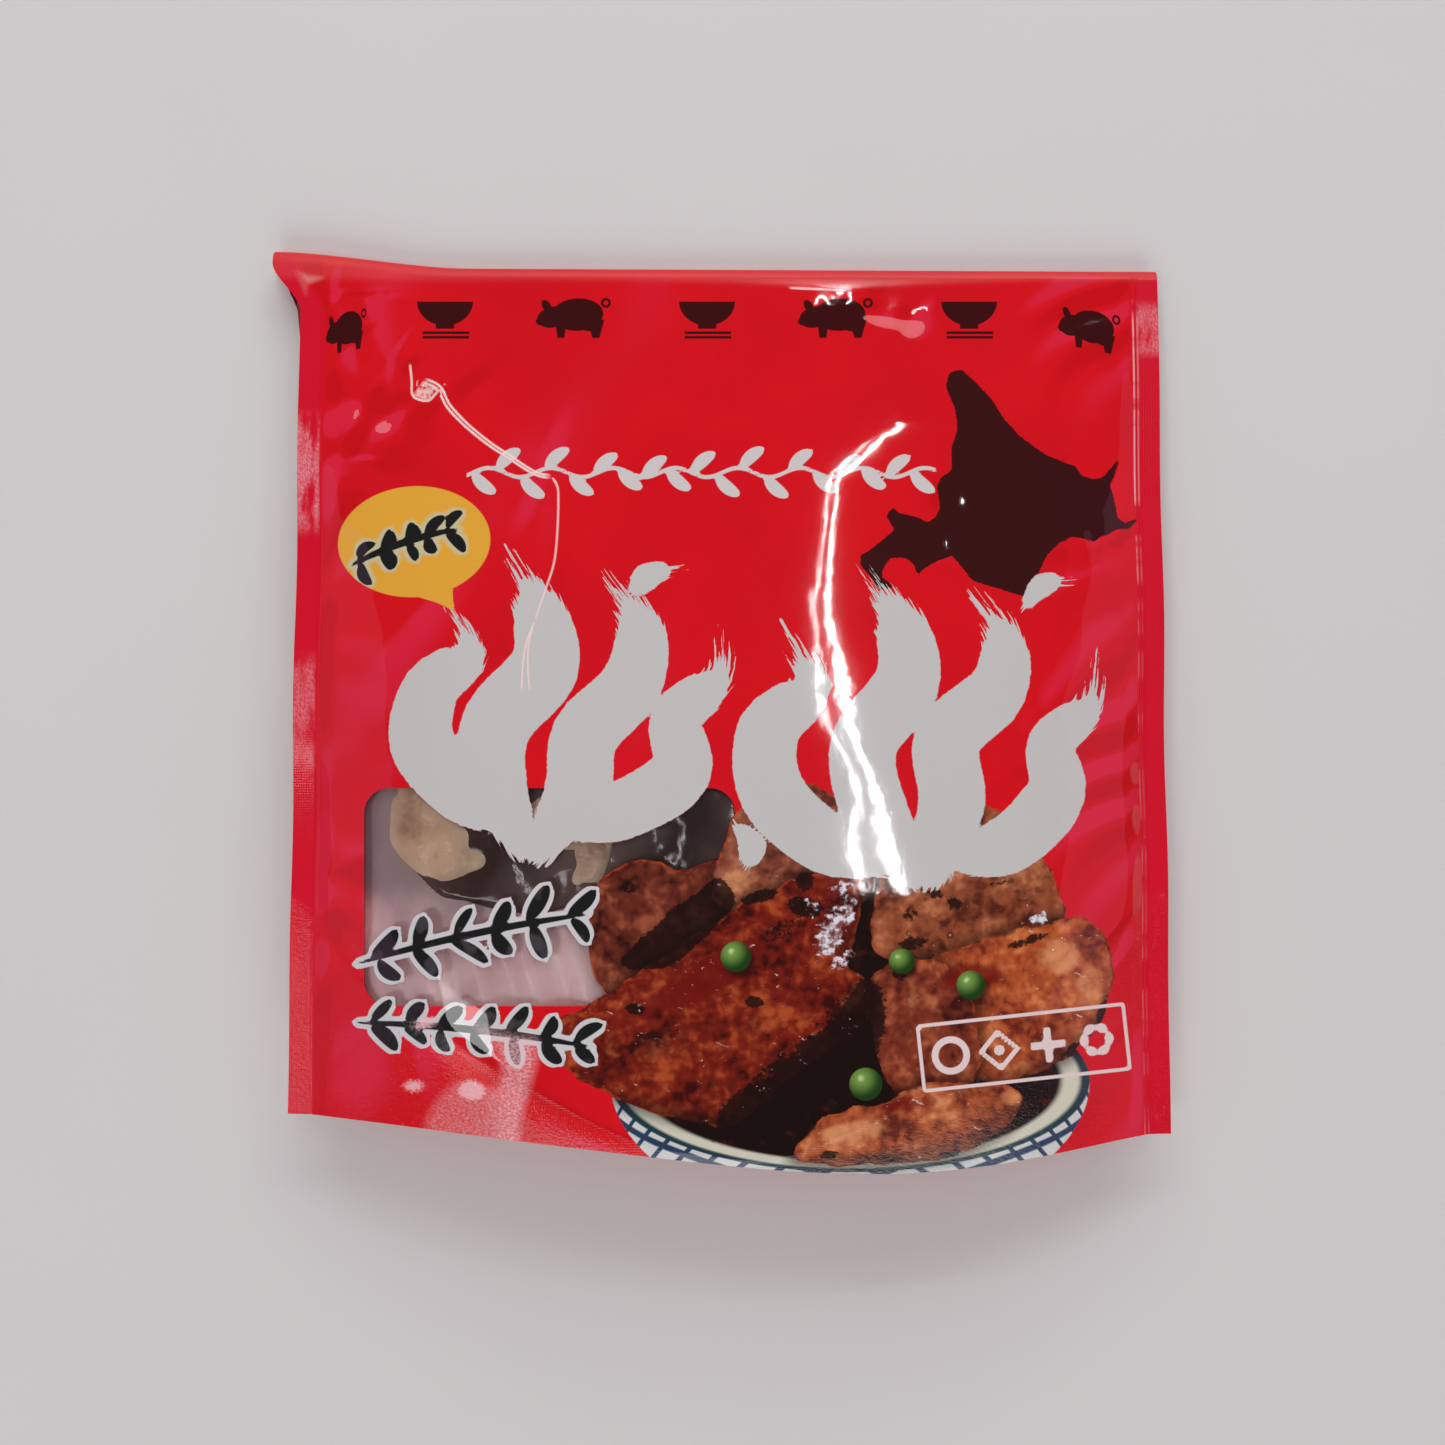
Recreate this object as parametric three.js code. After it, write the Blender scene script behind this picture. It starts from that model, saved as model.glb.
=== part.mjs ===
// A filled stand-up food pouch of printed film, lying on its back with the printed front up.
// Millimetres. X runs across the pouch, Y from the gusset at the bottom to the folded top, Z up from
// the surface that the pouch lies on. The finished solid has its origin under its middle.
//
// The solid is lofted. Each column from the left seal to the right seal is one closed loop in the
// Y-Z plane: up the front film, round the fold at the top, under and back over the header flap that
// is folded behind, down the back film, and in and out of the gusset that opens at the bottom.
import * as THREE from 'three';

// Across the pouch
const HALF_WIDTH = 104;
const SEAL_WIDTH = 5.5;
const FILM = 0.6; // two films sealed together, with room to be a solid

// Along the pouch: the front lip of the gusset bows out, more to the right of the middle
const LIP_Y = -94.5;
const LIP_SLANT = -2.6; // from the middle to the right corner
const LIP_BOW = 7.2;
const LIP_BOW_SKEW = 1.475;
const LIP_BOW_POWER = 1.6;
const BACK_LIP_INSET = 2;
const FOLD_Y = 111;
const FOLD_SLANT = -0.5;
const FOLD_RADIUS = 2.6;

// The top left corner stands out and up as an ear, where the fold gathers the film
const EAR_REACH = 7;
const EAR_RISE = 3.6;
const EAR_ROLL = 0.8;
const EAR_START = 0.62; // of the half width
const EAR_LENGTH = 0.06; // of the pouch's length

// Heights
const CROWN = 30;
const LIP_DROOP = 2;
const LIP_ROUND = 0.08; // of the pouch's length
const CROWN_POWERS = [2.2, 1.3]; // how late the front begins to fall to the fold, and how fast it ends
const SEAL_RISE = 10; // of the side seals, from the fold to the bottom corners
const SEAL_RISE_POWER = 0.9;
const SEAL_WAVE = 0.8;
const SEAL_WAVES = 3.2;

// How far in from the seals the films need to reach the crown and the floor
const SHOULDER = 45;
const LIP_SHOULDER = 70;
const SHOULDER_BLEND = 0.25; // of the pouch's length
const BACK_SHOULDER = 30;
const ROUNDNESS = 2.2;

// Header flap behind the pouch, and gusset
const FLAP_LENGTH = 38;
const FLAP_TUCK = 3; // its free end is this much narrower than the pouch on each side
const FLAP_CLEAR = 0.35;
const FLAP_TOUCHDOWN = 20;
const FLAP_STEP = 7;
const GUSSET_DEPTH = 24;
const GUSSET_CORNER = 0.3;
const GUSSET_START = 22; // the webs are sealed to each other this far in from the corners
const GUSSET_CURVE = 1.6;

// Steps of the mesh
const COLUMNS = 44;
const FRONT_ROWS = 34;
const ROLL_STEPS = 5;
const FLAP_STEPS = 4;
const BACK_ROWS = 18;
const BACK_ROW_SPREAD = 1.3; // rows lie closer together near the fold
const COLUMN_SPREAD = 0.55; // and columns near the seals
const GUSSET_STEPS = 5;

const RED_FILM = new THREE.MeshStandardMaterial({ color: 0xcf1220, roughness: 0.18, metalness: 0 });

const { clamp, lerp, smoothstep } = THREE.MathUtils;

// 0 at the seal, 1 once the film is past its shoulder, and round between
function shoulder(inset, reach) {
  return 1 - (1 - clamp(inset / reach, 0, 1)) ** ROUNDNESS;
}

// Distance in from the inner line of the nearest side seal
function insetOf(s) {
  return Math.max(0, (1 - Math.abs(s)) * HALF_WIDTH - SEAL_WIDTH);
}

// How far a column belongs to the ear, from 0 to 1
function earShare(s) {
  return smoothstep(-s, EAR_START, 1);
}

function lipY(s) {
  const skewed = ((s + 1) / 2) ** LIP_BOW_SKEW;
  return LIP_Y + LIP_SLANT * s - LIP_BOW * Math.sin(Math.PI * skewed) ** LIP_BOW_POWER;
}

function foldY(s) {
  return FOLD_Y + FOLD_SLANT * s + EAR_RISE * earShare(s);
}

function foldRadius(s) {
  return FOLD_RADIUS + EAR_ROLL * earShare(s);
}

// Height of the side seals' middle, v running from the lip at 0 to the fold at 1
function sealZ(s, v) {
  const atFold = 2 * foldRadius(s) - FILM / 2;
  const wave = SEAL_WAVE * Math.sin(2 * Math.PI * SEAL_WAVES * v + 2 * s) * v * (1 - v) * 4;
  return atFold + SEAL_RISE * (1 - v) ** SEAL_RISE_POWER + wave;
}

function crownZ(s, v) {
  const atFold = 2 * foldRadius(s);
  const droop = LIP_DROOP * (1 - clamp(v / LIP_ROUND, 0, 1)) ** 2;
  const [late, end] = CROWN_POWERS;
  return atFold + (CROWN - atFold) * (1 - v ** late) ** end - droop;
}

function frontZ(s, v) {
  const seal = sealZ(s, v) + FILM / 2;
  const spread = (LIP_SHOULDER - SHOULDER) * (1 - clamp(v / SHOULDER_BLEND, 0, 1)) ** 2;
  return lerp(seal, crownZ(s, v), shoulder(insetOf(s), SHOULDER + spread));
}

// Height that the back film has above the floor, or above the flap that it lies on
function backZ(s, y) {
  const v = clamp((y - lipY(s)) / (foldY(s) - lipY(s)), 0, 1);
  const down = shoulder(insetOf(s), BACK_SHOULDER);
  const belowFold = foldY(s) - foldRadius(s) - y;
  const onFlap = 1 - smoothstep(belowFold, FLAP_LENGTH, FLAP_LENGTH + FLAP_STEP);
  const lying = (FILM + FLAP_CLEAR) * onFlap;
  const atFold = 2 * foldRadius(s) - FILM;
  const taper = (1 - clamp(belowFold / FLAP_TOUCHDOWN, 0, 1)) ** 2;
  return lerp(lerp(sealZ(s, v) - FILM / 2, lying, down), atFold, taper);
}

// The pouch is narrower than its flat film, and only the ear keeps the flat film's width
function planX(s, v) {
  const ear = EAR_REACH * earShare(s) * smoothstep(v, 1 - EAR_LENGTH, 1);
  return HALF_WIDTH * s - ear;
}

// Behind the pouch the ear tapers away, and the flap's sides run in under the seals
function flapX(s, behind) {
  const tuck = smoothstep(behind, 0, FLAP_LENGTH / 2);
  return lerp(planX(s, 1), (HALF_WIDTH - FLAP_TUCK) * s, tuck);
}

function gussetDepth(s) {
  const open = clamp((HALF_WIDTH * (1 - Math.abs(s)) - GUSSET_START) / (HALF_WIDTH - GUSSET_START), 0, 1);
  return GUSSET_CORNER + GUSSET_DEPTH * Math.sqrt(open * (2 - open));
}

// Adds steps points from the last one to its far end, by a function of 0 to 1 that skips 0
function run(loop, steps, pointAt) {
  for (let i = 1; i <= steps; i += 1) {
    loop.push(pointAt(i / steps));
  }
}

// The closed loop of one column, as points with x, y and z
function columnLoop(s) {
  const lip = lipY(s);
  const backLip = lip + BACK_LIP_INSET * shoulder(insetOf(s), SHOULDER);
  const top = foldY(s);
  const radius = foldRadius(s);
  const rollY = top - radius;
  const at = (y, z, v) => new THREE.Vector3(planX(s, v), y, z);
  const roll = (r, angle) => at(rollY + r * Math.sin(angle), radius + r * Math.cos(angle), 1);
  const flap = (behind, z) => new THREE.Vector3(flapX(s, behind), rollY - behind, z);

  const loop = [at(lip, frontZ(s, 0), 0)];
  run(loop, FRONT_ROWS, (t) => at(lerp(lip, rollY, t), frontZ(s, t), t));
  run(loop, ROLL_STEPS, (t) => roll(radius, Math.PI * t));
  run(loop, FLAP_STEPS, (t) => flap(FLAP_LENGTH * t, 0));
  loop.push(flap(FLAP_LENGTH, FILM));
  run(loop, FLAP_STEPS, (t) => flap(FLAP_LENGTH * (1 - t), FILM));
  run(loop, ROLL_STEPS, (t) => roll(radius - FILM, Math.PI * (1 - t)));
  run(loop, BACK_ROWS, (t) => {
    const y = lerp(rollY, backLip, t ** BACK_ROW_SPREAD);
    return at(y, backZ(s, y), clamp((y - lip) / (top - lip), 0, 1));
  });

  // In along the back web of the gusset to its fold, and out along the front web
  const backWeb = backZ(s, backLip) + FILM / 3;
  const frontWeb = frontZ(s, 0) - FILM / 3;
  const foldAt = at(lip + BACK_LIP_INSET + gussetDepth(s), (backWeb + frontWeb) / 2, 0);
  const bend = (z, t) => at(lerp(lip + BACK_LIP_INSET / 2, foldAt.y, Math.sin((Math.PI / 2) * t)),
    lerp(z, foldAt.z, t ** GUSSET_CURVE), 0);
  loop.push(bend(backWeb, 0));
  run(loop, GUSSET_STEPS, (t) => bend(backWeb, t));
  for (let i = GUSSET_STEPS - 1; i >= 0; i -= 1) {
    loop.push(bend(frontWeb, i / GUSSET_STEPS));
  }
  return loop;
}

// Columns lie closer together towards the seals, with one on each seal's inner line
function columnStations() {
  const inner = 1 - SEAL_WIDTH / HALF_WIDTH;
  const stations = [];
  for (let i = 0; i <= COLUMNS; i += 1) {
    const k = (2 * i) / COLUMNS - 1;
    stations.push(inner * lerp(k, Math.sin((Math.PI / 2) * k), COLUMN_SPREAD));
  }
  return [-1, (-1 - inner) / 2, ...stations, (1 + inner) / 2, 1];
}

// Joins neighbouring loops by quads split into triangles, and closes both ends
function loft(loops) {
  const size = loops[0].length;
  const positions = loops.flat().flatMap((p) => [p.x, p.y, p.z]);
  const triangles = [];
  for (let c = 0; c + 1 < loops.length; c += 1) {
    for (let r = 0; r < size; r += 1) {
      const a = c * size + r;
      const b = c * size + ((r + 1) % size);
      triangles.push(a, a + size, b, b, a + size, b + size);
    }
  }
  for (const c of [0, loops.length - 1]) {
    const first = c * size;
    const outline = loops[c].map((p) => new THREE.Vector2(p.y, p.z));
    for (const [i, j, k] of THREE.ShapeUtils.triangulateShape(outline, [])) {
      triangles.push(first + i, first + (c === 0 ? k : j), first + (c === 0 ? j : k));
    }
  }
  const geometry = new THREE.BufferGeometry();
  geometry.setAttribute('position', new THREE.Float32BufferAttribute(positions, 3));
  geometry.setIndex(triangles);
  return geometry;
}

// Puts the origin on the floor under the middle of the solid
function standOnOrigin(geometry) {
  geometry.computeBoundingBox();
  const { min, max } = geometry.boundingBox;
  geometry.translate(-(min.x + max.x) / 2, -(min.y + max.y) / 2, -min.z);
  geometry.computeVertexNormals();
  return geometry;
}

const pouch = new THREE.Mesh(standOnOrigin(loft(columnStations().map(columnLoop))), RED_FILM);
pouch.name = 'pouch';

const model = new THREE.Group();
model.add(pouch);

export default model;
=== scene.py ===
"""A filled stand-up food pouch of glossy red printed film, lying on its back, printed front up.

Everything is worked out on grids in millimetres, in the pouch's own plan: X across from the middle
of the pouch, Y along it, Z up from the floor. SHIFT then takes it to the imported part's frame. The
print is drawn in layout coordinates u, v, which are where the photograph shows a point of the film,
in millimetres from the photograph's centre in a plane at the height of the side seals. A printed
field is worked out for each point of the film as a signed distance, positive inside, and kept in an
attribute; the film's material cuts it off at zero.
"""
import math

import bpy
import numpy as np
from mathutils import Matrix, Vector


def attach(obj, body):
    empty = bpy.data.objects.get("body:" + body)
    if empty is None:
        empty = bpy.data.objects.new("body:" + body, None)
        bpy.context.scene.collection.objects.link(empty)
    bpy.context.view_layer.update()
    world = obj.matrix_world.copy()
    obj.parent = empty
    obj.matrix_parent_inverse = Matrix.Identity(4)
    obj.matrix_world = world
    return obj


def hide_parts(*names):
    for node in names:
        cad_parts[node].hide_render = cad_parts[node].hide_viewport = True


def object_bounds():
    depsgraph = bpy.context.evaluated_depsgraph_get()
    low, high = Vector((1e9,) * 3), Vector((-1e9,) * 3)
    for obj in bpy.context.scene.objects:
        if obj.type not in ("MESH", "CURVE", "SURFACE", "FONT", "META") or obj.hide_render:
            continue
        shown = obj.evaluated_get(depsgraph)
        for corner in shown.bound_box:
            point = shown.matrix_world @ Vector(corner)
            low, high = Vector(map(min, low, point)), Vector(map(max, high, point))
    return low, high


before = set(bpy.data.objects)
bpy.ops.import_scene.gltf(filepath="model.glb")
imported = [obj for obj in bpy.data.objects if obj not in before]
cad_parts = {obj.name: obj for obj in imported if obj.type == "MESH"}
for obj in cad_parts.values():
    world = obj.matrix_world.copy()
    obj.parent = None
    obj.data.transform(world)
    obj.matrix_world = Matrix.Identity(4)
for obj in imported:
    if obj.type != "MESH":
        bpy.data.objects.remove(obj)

CAD_BOX = [list(corner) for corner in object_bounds()]
MM = 0.001

# The pouch, in millimetres, by the same dimensions as its solid
HALF_WIDTH = 104.0
SEAL_WIDTH = 5.5
FILM = 0.36
LIP_Y, LIP_SLANT = -94.5, -2.6
LIP_BOW, LIP_BOW_SKEW, LIP_BOW_POWER = 7.2, 1.475, 1.6
BACK_LIP_INSET = 2.0
FOLD_Y, FOLD_SLANT, FOLD_RADIUS = 111.0, -0.5, 2.6
EAR_REACH, EAR_RISE, EAR_ROLL, EAR_START, EAR_LENGTH = 7.0, 3.6, 0.8, 0.62, 0.06
CROWN, LIP_DROOP, LIP_ROUND, CROWN_POWERS = 29.6, 2.0, 0.08, (2.2, 1.3)
SEAL_RISE, SEAL_RISE_POWER, SEAL_WAVE, SEAL_WAVES = 10.0, 0.9, 0.8, 3.2
SHOULDER, LIP_SHOULDER, SHOULDER_BLEND, BACK_SHOULDER, ROUNDNESS = 45.0, 70.0, 0.25, 30.0, 2.2
FLAP_LENGTH, FLAP_TUCK, FLAP_LAYER, FLAP_CLEAR = 38.0, 3.0, 0.6, 0.35
FLAP_TOUCHDOWN, FLAP_STEP = 20.0, 7.0
GUSSET_DEPTH, GUSSET_CORNER, GUSSET_START, GUSSET_CURVE = 24.0, 0.3, 22.0, 1.6

# Grid of the film: columns across, then the stretches of one loop round the pouch. Its rows on the
# back lie closer together near the fold, and its steps on the front are these on the layout.
COLUMNS = 250
FRONT_ROWS, ROLL_ROWS, FLAP_ROWS, BACK_ROWS, WEB_ROWS = 290, 8, 6, 50, 10
BACK_ROW_SPREAD = 1.3
STEP_U, STEP_V = 0.83, 0.72

# The photograph: its frame, the size of a pixel in the plane of the layout, and the camera
FRAME_PIXELS = 1445
PIXEL = 0.24
PLANE_Z = 10.0
CAMERA_Z = 330.0
SENSOR = 36.0
POUCH_MIDDLE_X = 1.9

# What a field holds where nothing is printed
BLANK = -6.0


def smooth(x, low, high):
    """0 below low, 1 above high, and a smooth cubic between."""
    t = np.clip((x - low) / (high - low), 0, 1)
    return t * t * (3 - 2 * t)


def lerp(a, b, t):
    return a + (b - a) * t


# The pouch's form

def shoulder(inset, reach):
    """0 at the seal and 1 past the shoulder: one less a power of what is left of the reach."""
    return 1 - (1 - np.clip(inset / reach, 0, 1)) ** ROUNDNESS


def inset_of(s):
    """How far in from the inner line of the nearer side seal a column lies."""
    return np.maximum(0, (1 - np.abs(s)) * HALF_WIDTH - SEAL_WIDTH)


def free(inset):
    """0 on the side seals, which hold the film flat, and 1 a few millimetres in from them."""
    return smooth(inset, 0.3, 5)


def ear_share(s):
    """How far a column belongs to the ear, from 0 to 1."""
    return smooth(-s, EAR_START, 1)


def lip_y(s):
    """A slanted line less a bow, which is a power of a sine of the skewed place across."""
    skewed = ((s + 1) / 2) ** LIP_BOW_SKEW
    return LIP_Y + LIP_SLANT * s - LIP_BOW * np.abs(np.sin(np.pi * skewed)) ** LIP_BOW_POWER


def fold_y(s):
    """Where the top fold lies: a slanted line that rises in the ear."""
    return FOLD_Y + FOLD_SLANT * s + EAR_RISE * ear_share(s)


def fold_radius(s):
    """Radius of the rolled fold, larger in the ear."""
    return FOLD_RADIUS + EAR_ROLL * ear_share(s)


def way_up(s, y):
    """The way from the lip at 0 to the fold at 1."""
    return np.clip((y - lip_y(s)) / (fold_y(s) - lip_y(s)), 0, 1)


def seal_z(s, v):
    """Height of the side seals: a power of the way down from the fold, plus a fading wave."""
    wave = SEAL_WAVE * np.sin(2 * np.pi * SEAL_WAVES * v + 2 * s) * v * (1 - v) * 4
    return 2 * fold_radius(s) - FILM / 2 + SEAL_RISE * (1 - v) ** SEAL_RISE_POWER + wave


def crown_z(s, v):
    """Height past the shoulders: two powers of the way up, with a droop at the lip."""
    at_fold = 2 * fold_radius(s)
    late, end = CROWN_POWERS
    droop = LIP_DROOP * (1 - np.clip(v / LIP_ROUND, 0, 1)) ** 2
    return at_fold + (CROWN - at_fold) * (1 - v**late) ** end - droop


def front_z(s, v):
    """From the seal's height to the crown's, by the shoulder, which is wider near the lip."""
    spread = (LIP_SHOULDER - SHOULDER) * (1 - np.clip(v / SHOULDER_BLEND, 0, 1)) ** 2
    rise = shoulder(inset_of(s), SHOULDER + spread)
    return lerp(seal_z(s, v) + FILM / 2, crown_z(s, v), rise)


def back_z(s, y):
    """On the floor or the flap in the middle, up to the seals at the sides and to the fold."""
    below = fold_y(s) - fold_radius(s) - y
    lying = (FLAP_LAYER + FLAP_CLEAR) * (1 - smooth(below, FLAP_LENGTH, FLAP_LENGTH + FLAP_STEP))
    taper = (1 - np.clip(below / FLAP_TOUCHDOWN, 0, 1)) ** 2
    sides = lerp(seal_z(s, way_up(s, y)) - FILM / 2, lying, shoulder(inset_of(s), BACK_SHOULDER))
    return lerp(sides, 2 * fold_radius(s) - FLAP_LAYER, taper)


def plan_x(s, v):
    """Place across: only the ear stands out from the pouch's straight sides, at the top."""
    return HALF_WIDTH * s - EAR_REACH * ear_share(s) * smooth(v, 1 - EAR_LENGTH, 1)


def flap_x(s, behind):
    """Place across behind the fold: the ear tapers away, and the flap runs in under the seals."""
    return lerp(plan_x(s, 1.0), (HALF_WIDTH - FLAP_TUCK) * s, smooth(behind, 0, FLAP_LENGTH / 2))


def gusset_depth(s):
    """A quarter circle's rise from where the webs are sealed together to the middle."""
    span = HALF_WIDTH - GUSSET_START
    way = np.clip((HALF_WIDTH * (1 - np.abs(s)) - GUSSET_START) / span, 0, 1)
    return GUSSET_CORNER + GUSSET_DEPTH * np.sqrt(way * (2 - way))


# From the plan to the part's frame, by the tip of the ear
SHIFT = np.array([CAD_BOX[0][0] / MM - plan_x(-1.0, 1.0), CAD_BOX[1][1] / MM - fold_y(-1.0), 0.0])


def nearness(z):
    """How much larger the photograph shows what is z high than what lies in the layout's plane."""
    return (CAMERA_Z - PLANE_Z) / (CAMERA_Z - z)


def to_layout(x, y, z):
    """Where the photograph shows a place of the plan, if it is z high."""
    return (x + POUCH_MIDDLE_X) * nearness(z), y * nearness(z)


def to_plan(u, v, z):
    """The place of the plan that the photograph shows at u, v, if it is z high."""
    return u / nearness(z) - POUCH_MIDDLE_X, v / nearness(z)


# Fields on the layout

def turned(u, v, centre, degrees):
    """Places along and across from a centre, on axes turned by degrees."""
    c, s = math.cos(math.radians(degrees)), math.sin(math.radians(degrees))
    a, b = u - centre[0], v - centre[1]
    return a * c + b * s, b * c - a * s


def path_distance(u, v, path):
    """Distance to a path of straight stretches, with the place along it from 0 to 1, and how far
    to its left the point lies."""
    path = np.asarray(path, float)
    steps = np.diff(path, axis=0)
    lengths = np.hypot(steps[:, 0], steps[:, 1])
    starts = np.concatenate([[0], np.cumsum(lengths)])
    nearest = np.full(u.shape, 1e9)
    along = np.zeros(u.shape)
    across = np.zeros(u.shape)
    for (px, py), (dx, dy), length, start in zip(path, steps, lengths, starts):
        t = np.clip(((u - px) * dx + (v - py) * dy) / length**2, 0, 1)
        away_x, away_y = u - px - t * dx, v - py - t * dy
        distance = np.hypot(away_x, away_y)
        closer = distance < nearest
        nearest = np.where(closer, distance, nearest)
        along = np.where(closer, (start + t * length) / starts[-1], along)
        across = np.where(closer, (dx * away_y - dy * away_x) / length, across)
    return nearest, along, across


def curve(points, count=40, closed=False):
    """A smooth line through points: Catmull-Rom cubics between each two."""
    points = np.asarray(points, float)
    if closed:
        before, after, ahead = np.roll(points, 1, 0), np.roll(points, -1, 0), np.roll(points, -2, 0)
    else:
        padded = np.vstack([2 * points[0] - points[1], points, 2 * points[-1] - points[-2]])
        before, points, after, ahead = padded[:-3], padded[1:-2], padded[2:-1], padded[3:]
    each = max(2, count // len(points))
    t = (np.arange(each) / each)[None, :, None]
    p0, p1, p2, p3 = (p[:, None, :] for p in (before, points, after, ahead))
    bend = 2 * p1 + (p2 - p0) * t + (2 * p0 - 5 * p1 + 4 * p2 - p3) * t**2
    line = ((bend + (3 * p1 - p0 - 3 * p2 + p3) * t**3) / 2).reshape(-1, 2)
    return line if closed else np.vstack([line, after[-1]])


def area(u, v, outline):
    """Signed distance to a closed outline, positive inside by the even-odd rule."""
    outline = np.asarray(outline, float)
    (left, bottom), (right, top) = outline.min(axis=0) + BLANK - 1, outline.max(axis=0) - BLANK + 1
    near = (u > left) & (u < right) & (v > bottom) & (v < top)
    field = np.full(u.shape, BLANK)
    a, b = u[near], v[near]
    distance, _, _ = path_distance(a, b, np.vstack([outline, outline[:1]]))
    inside = np.zeros(a.shape, bool)
    for (px, py), (qx, qy) in zip(outline, np.roll(outline, -1, 0)):
        if py != qy:
            inside ^= ((py > b) != (qy > b)) & (a < px + (b - py) * (qx - px) / (qy - py))
    field[near] = np.maximum(np.where(inside, distance, -distance), BLANK)
    return field


def brush(u, v, points, half_widths):
    """A brush stroke: its width, smooth between the given ones, less the distance to its path."""
    distance, along, across = path_distance(u, v, curve(points, 28))
    width = np.interp(along, np.linspace(0, 1, len(half_widths)), half_widths)
    return np.maximum(width - distance, BLANK), along, across


def leaf(u, v, start, end, half_width, bend=0.0):
    """A pointed dab from start to end: a parabola's width across, about a bent middle line."""
    (ax, ay), (bx, by) = start, end
    length = math.hypot(bx - ax, by - ay)
    dx, dy = (bx - ax) / length, (by - ay) / length
    t = ((u - ax) * dx + (v - ay) * dy) / length
    side = (u - ax) * -dy + (v - ay) * dx
    belly = 4 * np.clip(t, 0, 1) * (1 - np.clip(t, 0, 1))
    beyond = np.maximum(np.abs(t - 0.5) - 0.5, 0) * length
    return np.maximum(half_width * np.sqrt(belly) - np.abs(side - bend * belly) - beyond, BLANK)


def box(u, v, centre, size, corner=0.0, turn=0.0):
    """Signed distance to a rectangle with round corners, turned by degrees."""
    a, b = turned(u, v, centre, turn)
    a, b = np.abs(a) - size[0] / 2 + corner, np.abs(b) - size[1] / 2 + corner
    outside = np.hypot(np.maximum(a, 0), np.maximum(b, 0))
    return np.maximum(corner - outside - np.minimum(np.maximum(a, b), 0), BLANK)


def oval(u, v, centre, radii, turn=0.0):
    """Roughly the signed distance to an ellipse, from how far the point is in radii."""
    a, b = turned(u, v, centre, turn)
    return np.maximum((1 - np.hypot(a / radii[0], b / radii[1])) * min(radii), BLANK)


def union(*fields):
    return np.maximum.reduce(fields)


# The print, in layout millimetres: rectangles by centre, size, corner and turn, ovals by centre,
# radii and turn

WINDOW = ((-41.5, -41.9), (89.0, 52.3), 6.0)
BALLOON = ((-74.0, 43.4), (18.3, 13.3), 4.0)
BALLOON_TAIL = [(-77, 33), (-75.7, 31.2), (-72.3, 29.9), (-68.9, 28.9), (-66.2, 27.7), (-64, 26.3),
                (-64.7, 29.4), (-64.8, 32.2), (-64.1, 34.6), (-61.4, 37.3), (-64, 41)]
STAMP = ((72.3, -78.0), (49.6, 15.6), 0.3, 6.2)
BACK_LABEL = ((0, -14), (132, 104), 4.0)
ICON_PERIOD, ICON_ROW = 62.9, 97.3

# The white vine: height of its stem, its waves, its ends, and its leaves from the first one's foot
VINE_V, VINE_WAVE, VINE_BEND = 60.0, 1.1, 0.42
VINE_ENDS = (-61.5, 51.5)
VINE_LEAVES, VINE_FOOT, VINE_STEP = 19, -60.0, 5.85

# Ink sprays: both ends of the stem, pairs of leaves, their length, and the seed of their draws
SPRAY_BEND = 1.2
TWIG = ((-89.5, 37.5), (-63, 46.5), 5, 6.2, 5)
SPRAYS = [((-88, -58), (-32, -46), 6, 9.5, 3), ((-88, -72), (-31, -78), 7, 8.0, 8)]

# White flames drawn with a wide brush: points of each tongue, then half widths along it
FLAMES = [
    ([(-50, -23), (-62, -17), (-72, -5), (-70, 8), (-61, 17), (-67, 29)], [5, 7.5, 8, 7, 5, 1]),
    ([(-48, -29), (-55, -14), (-54, 0), (-43, 13), (-44, 26), (-52, 42)], [5, 8, 8.5, 8.5, 6.5, 1]),
    ([(-44, -30), (-35, -17), (-33, -3), (-22, 9), (-20, 23), (-29, 37)], [5, 8, 8, 7.5, 6, 1]),
    ([(-41, -25), (-24, -21), (-10, -12), (-11, 1), (-1, 11), (0, 24)], [4, 7, 7.5, 6.5, 5, 1]),
    ([(-24, 27), (-18, 35), (-9, 37)], [1, 3.4, 1]),
    ([(40, -33), (25, -29), (12, -17), (11, -2), (21, 9), (14, 24)], [5, 7.5, 8, 7.5, 5.5, 1]),
    ([(45, -35), (36, -20), (34, -5), (44, 9), (43, 22), (33, 38)], [6, 8, 8, 8, 6.5, 1]),
    ([(50, -35), (55, -19), (54, -4), (66, 8), (67, 21), (59, 33)], [6, 8, 8, 7.5, 5.5, 1]),
    ([(53, -33), (69, -29), (80, -17), (79, -5), (88, 4), (90, 17)], [4, 7, 7.5, 6, 4.5, 1]),
    ([(3, -24), (7, -30), (4, -36)], [1, 3.6, 1.4]),
    ([(72, 27), (77, 33), (84, 34)], [1, 3.0, 1]),
]

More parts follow.
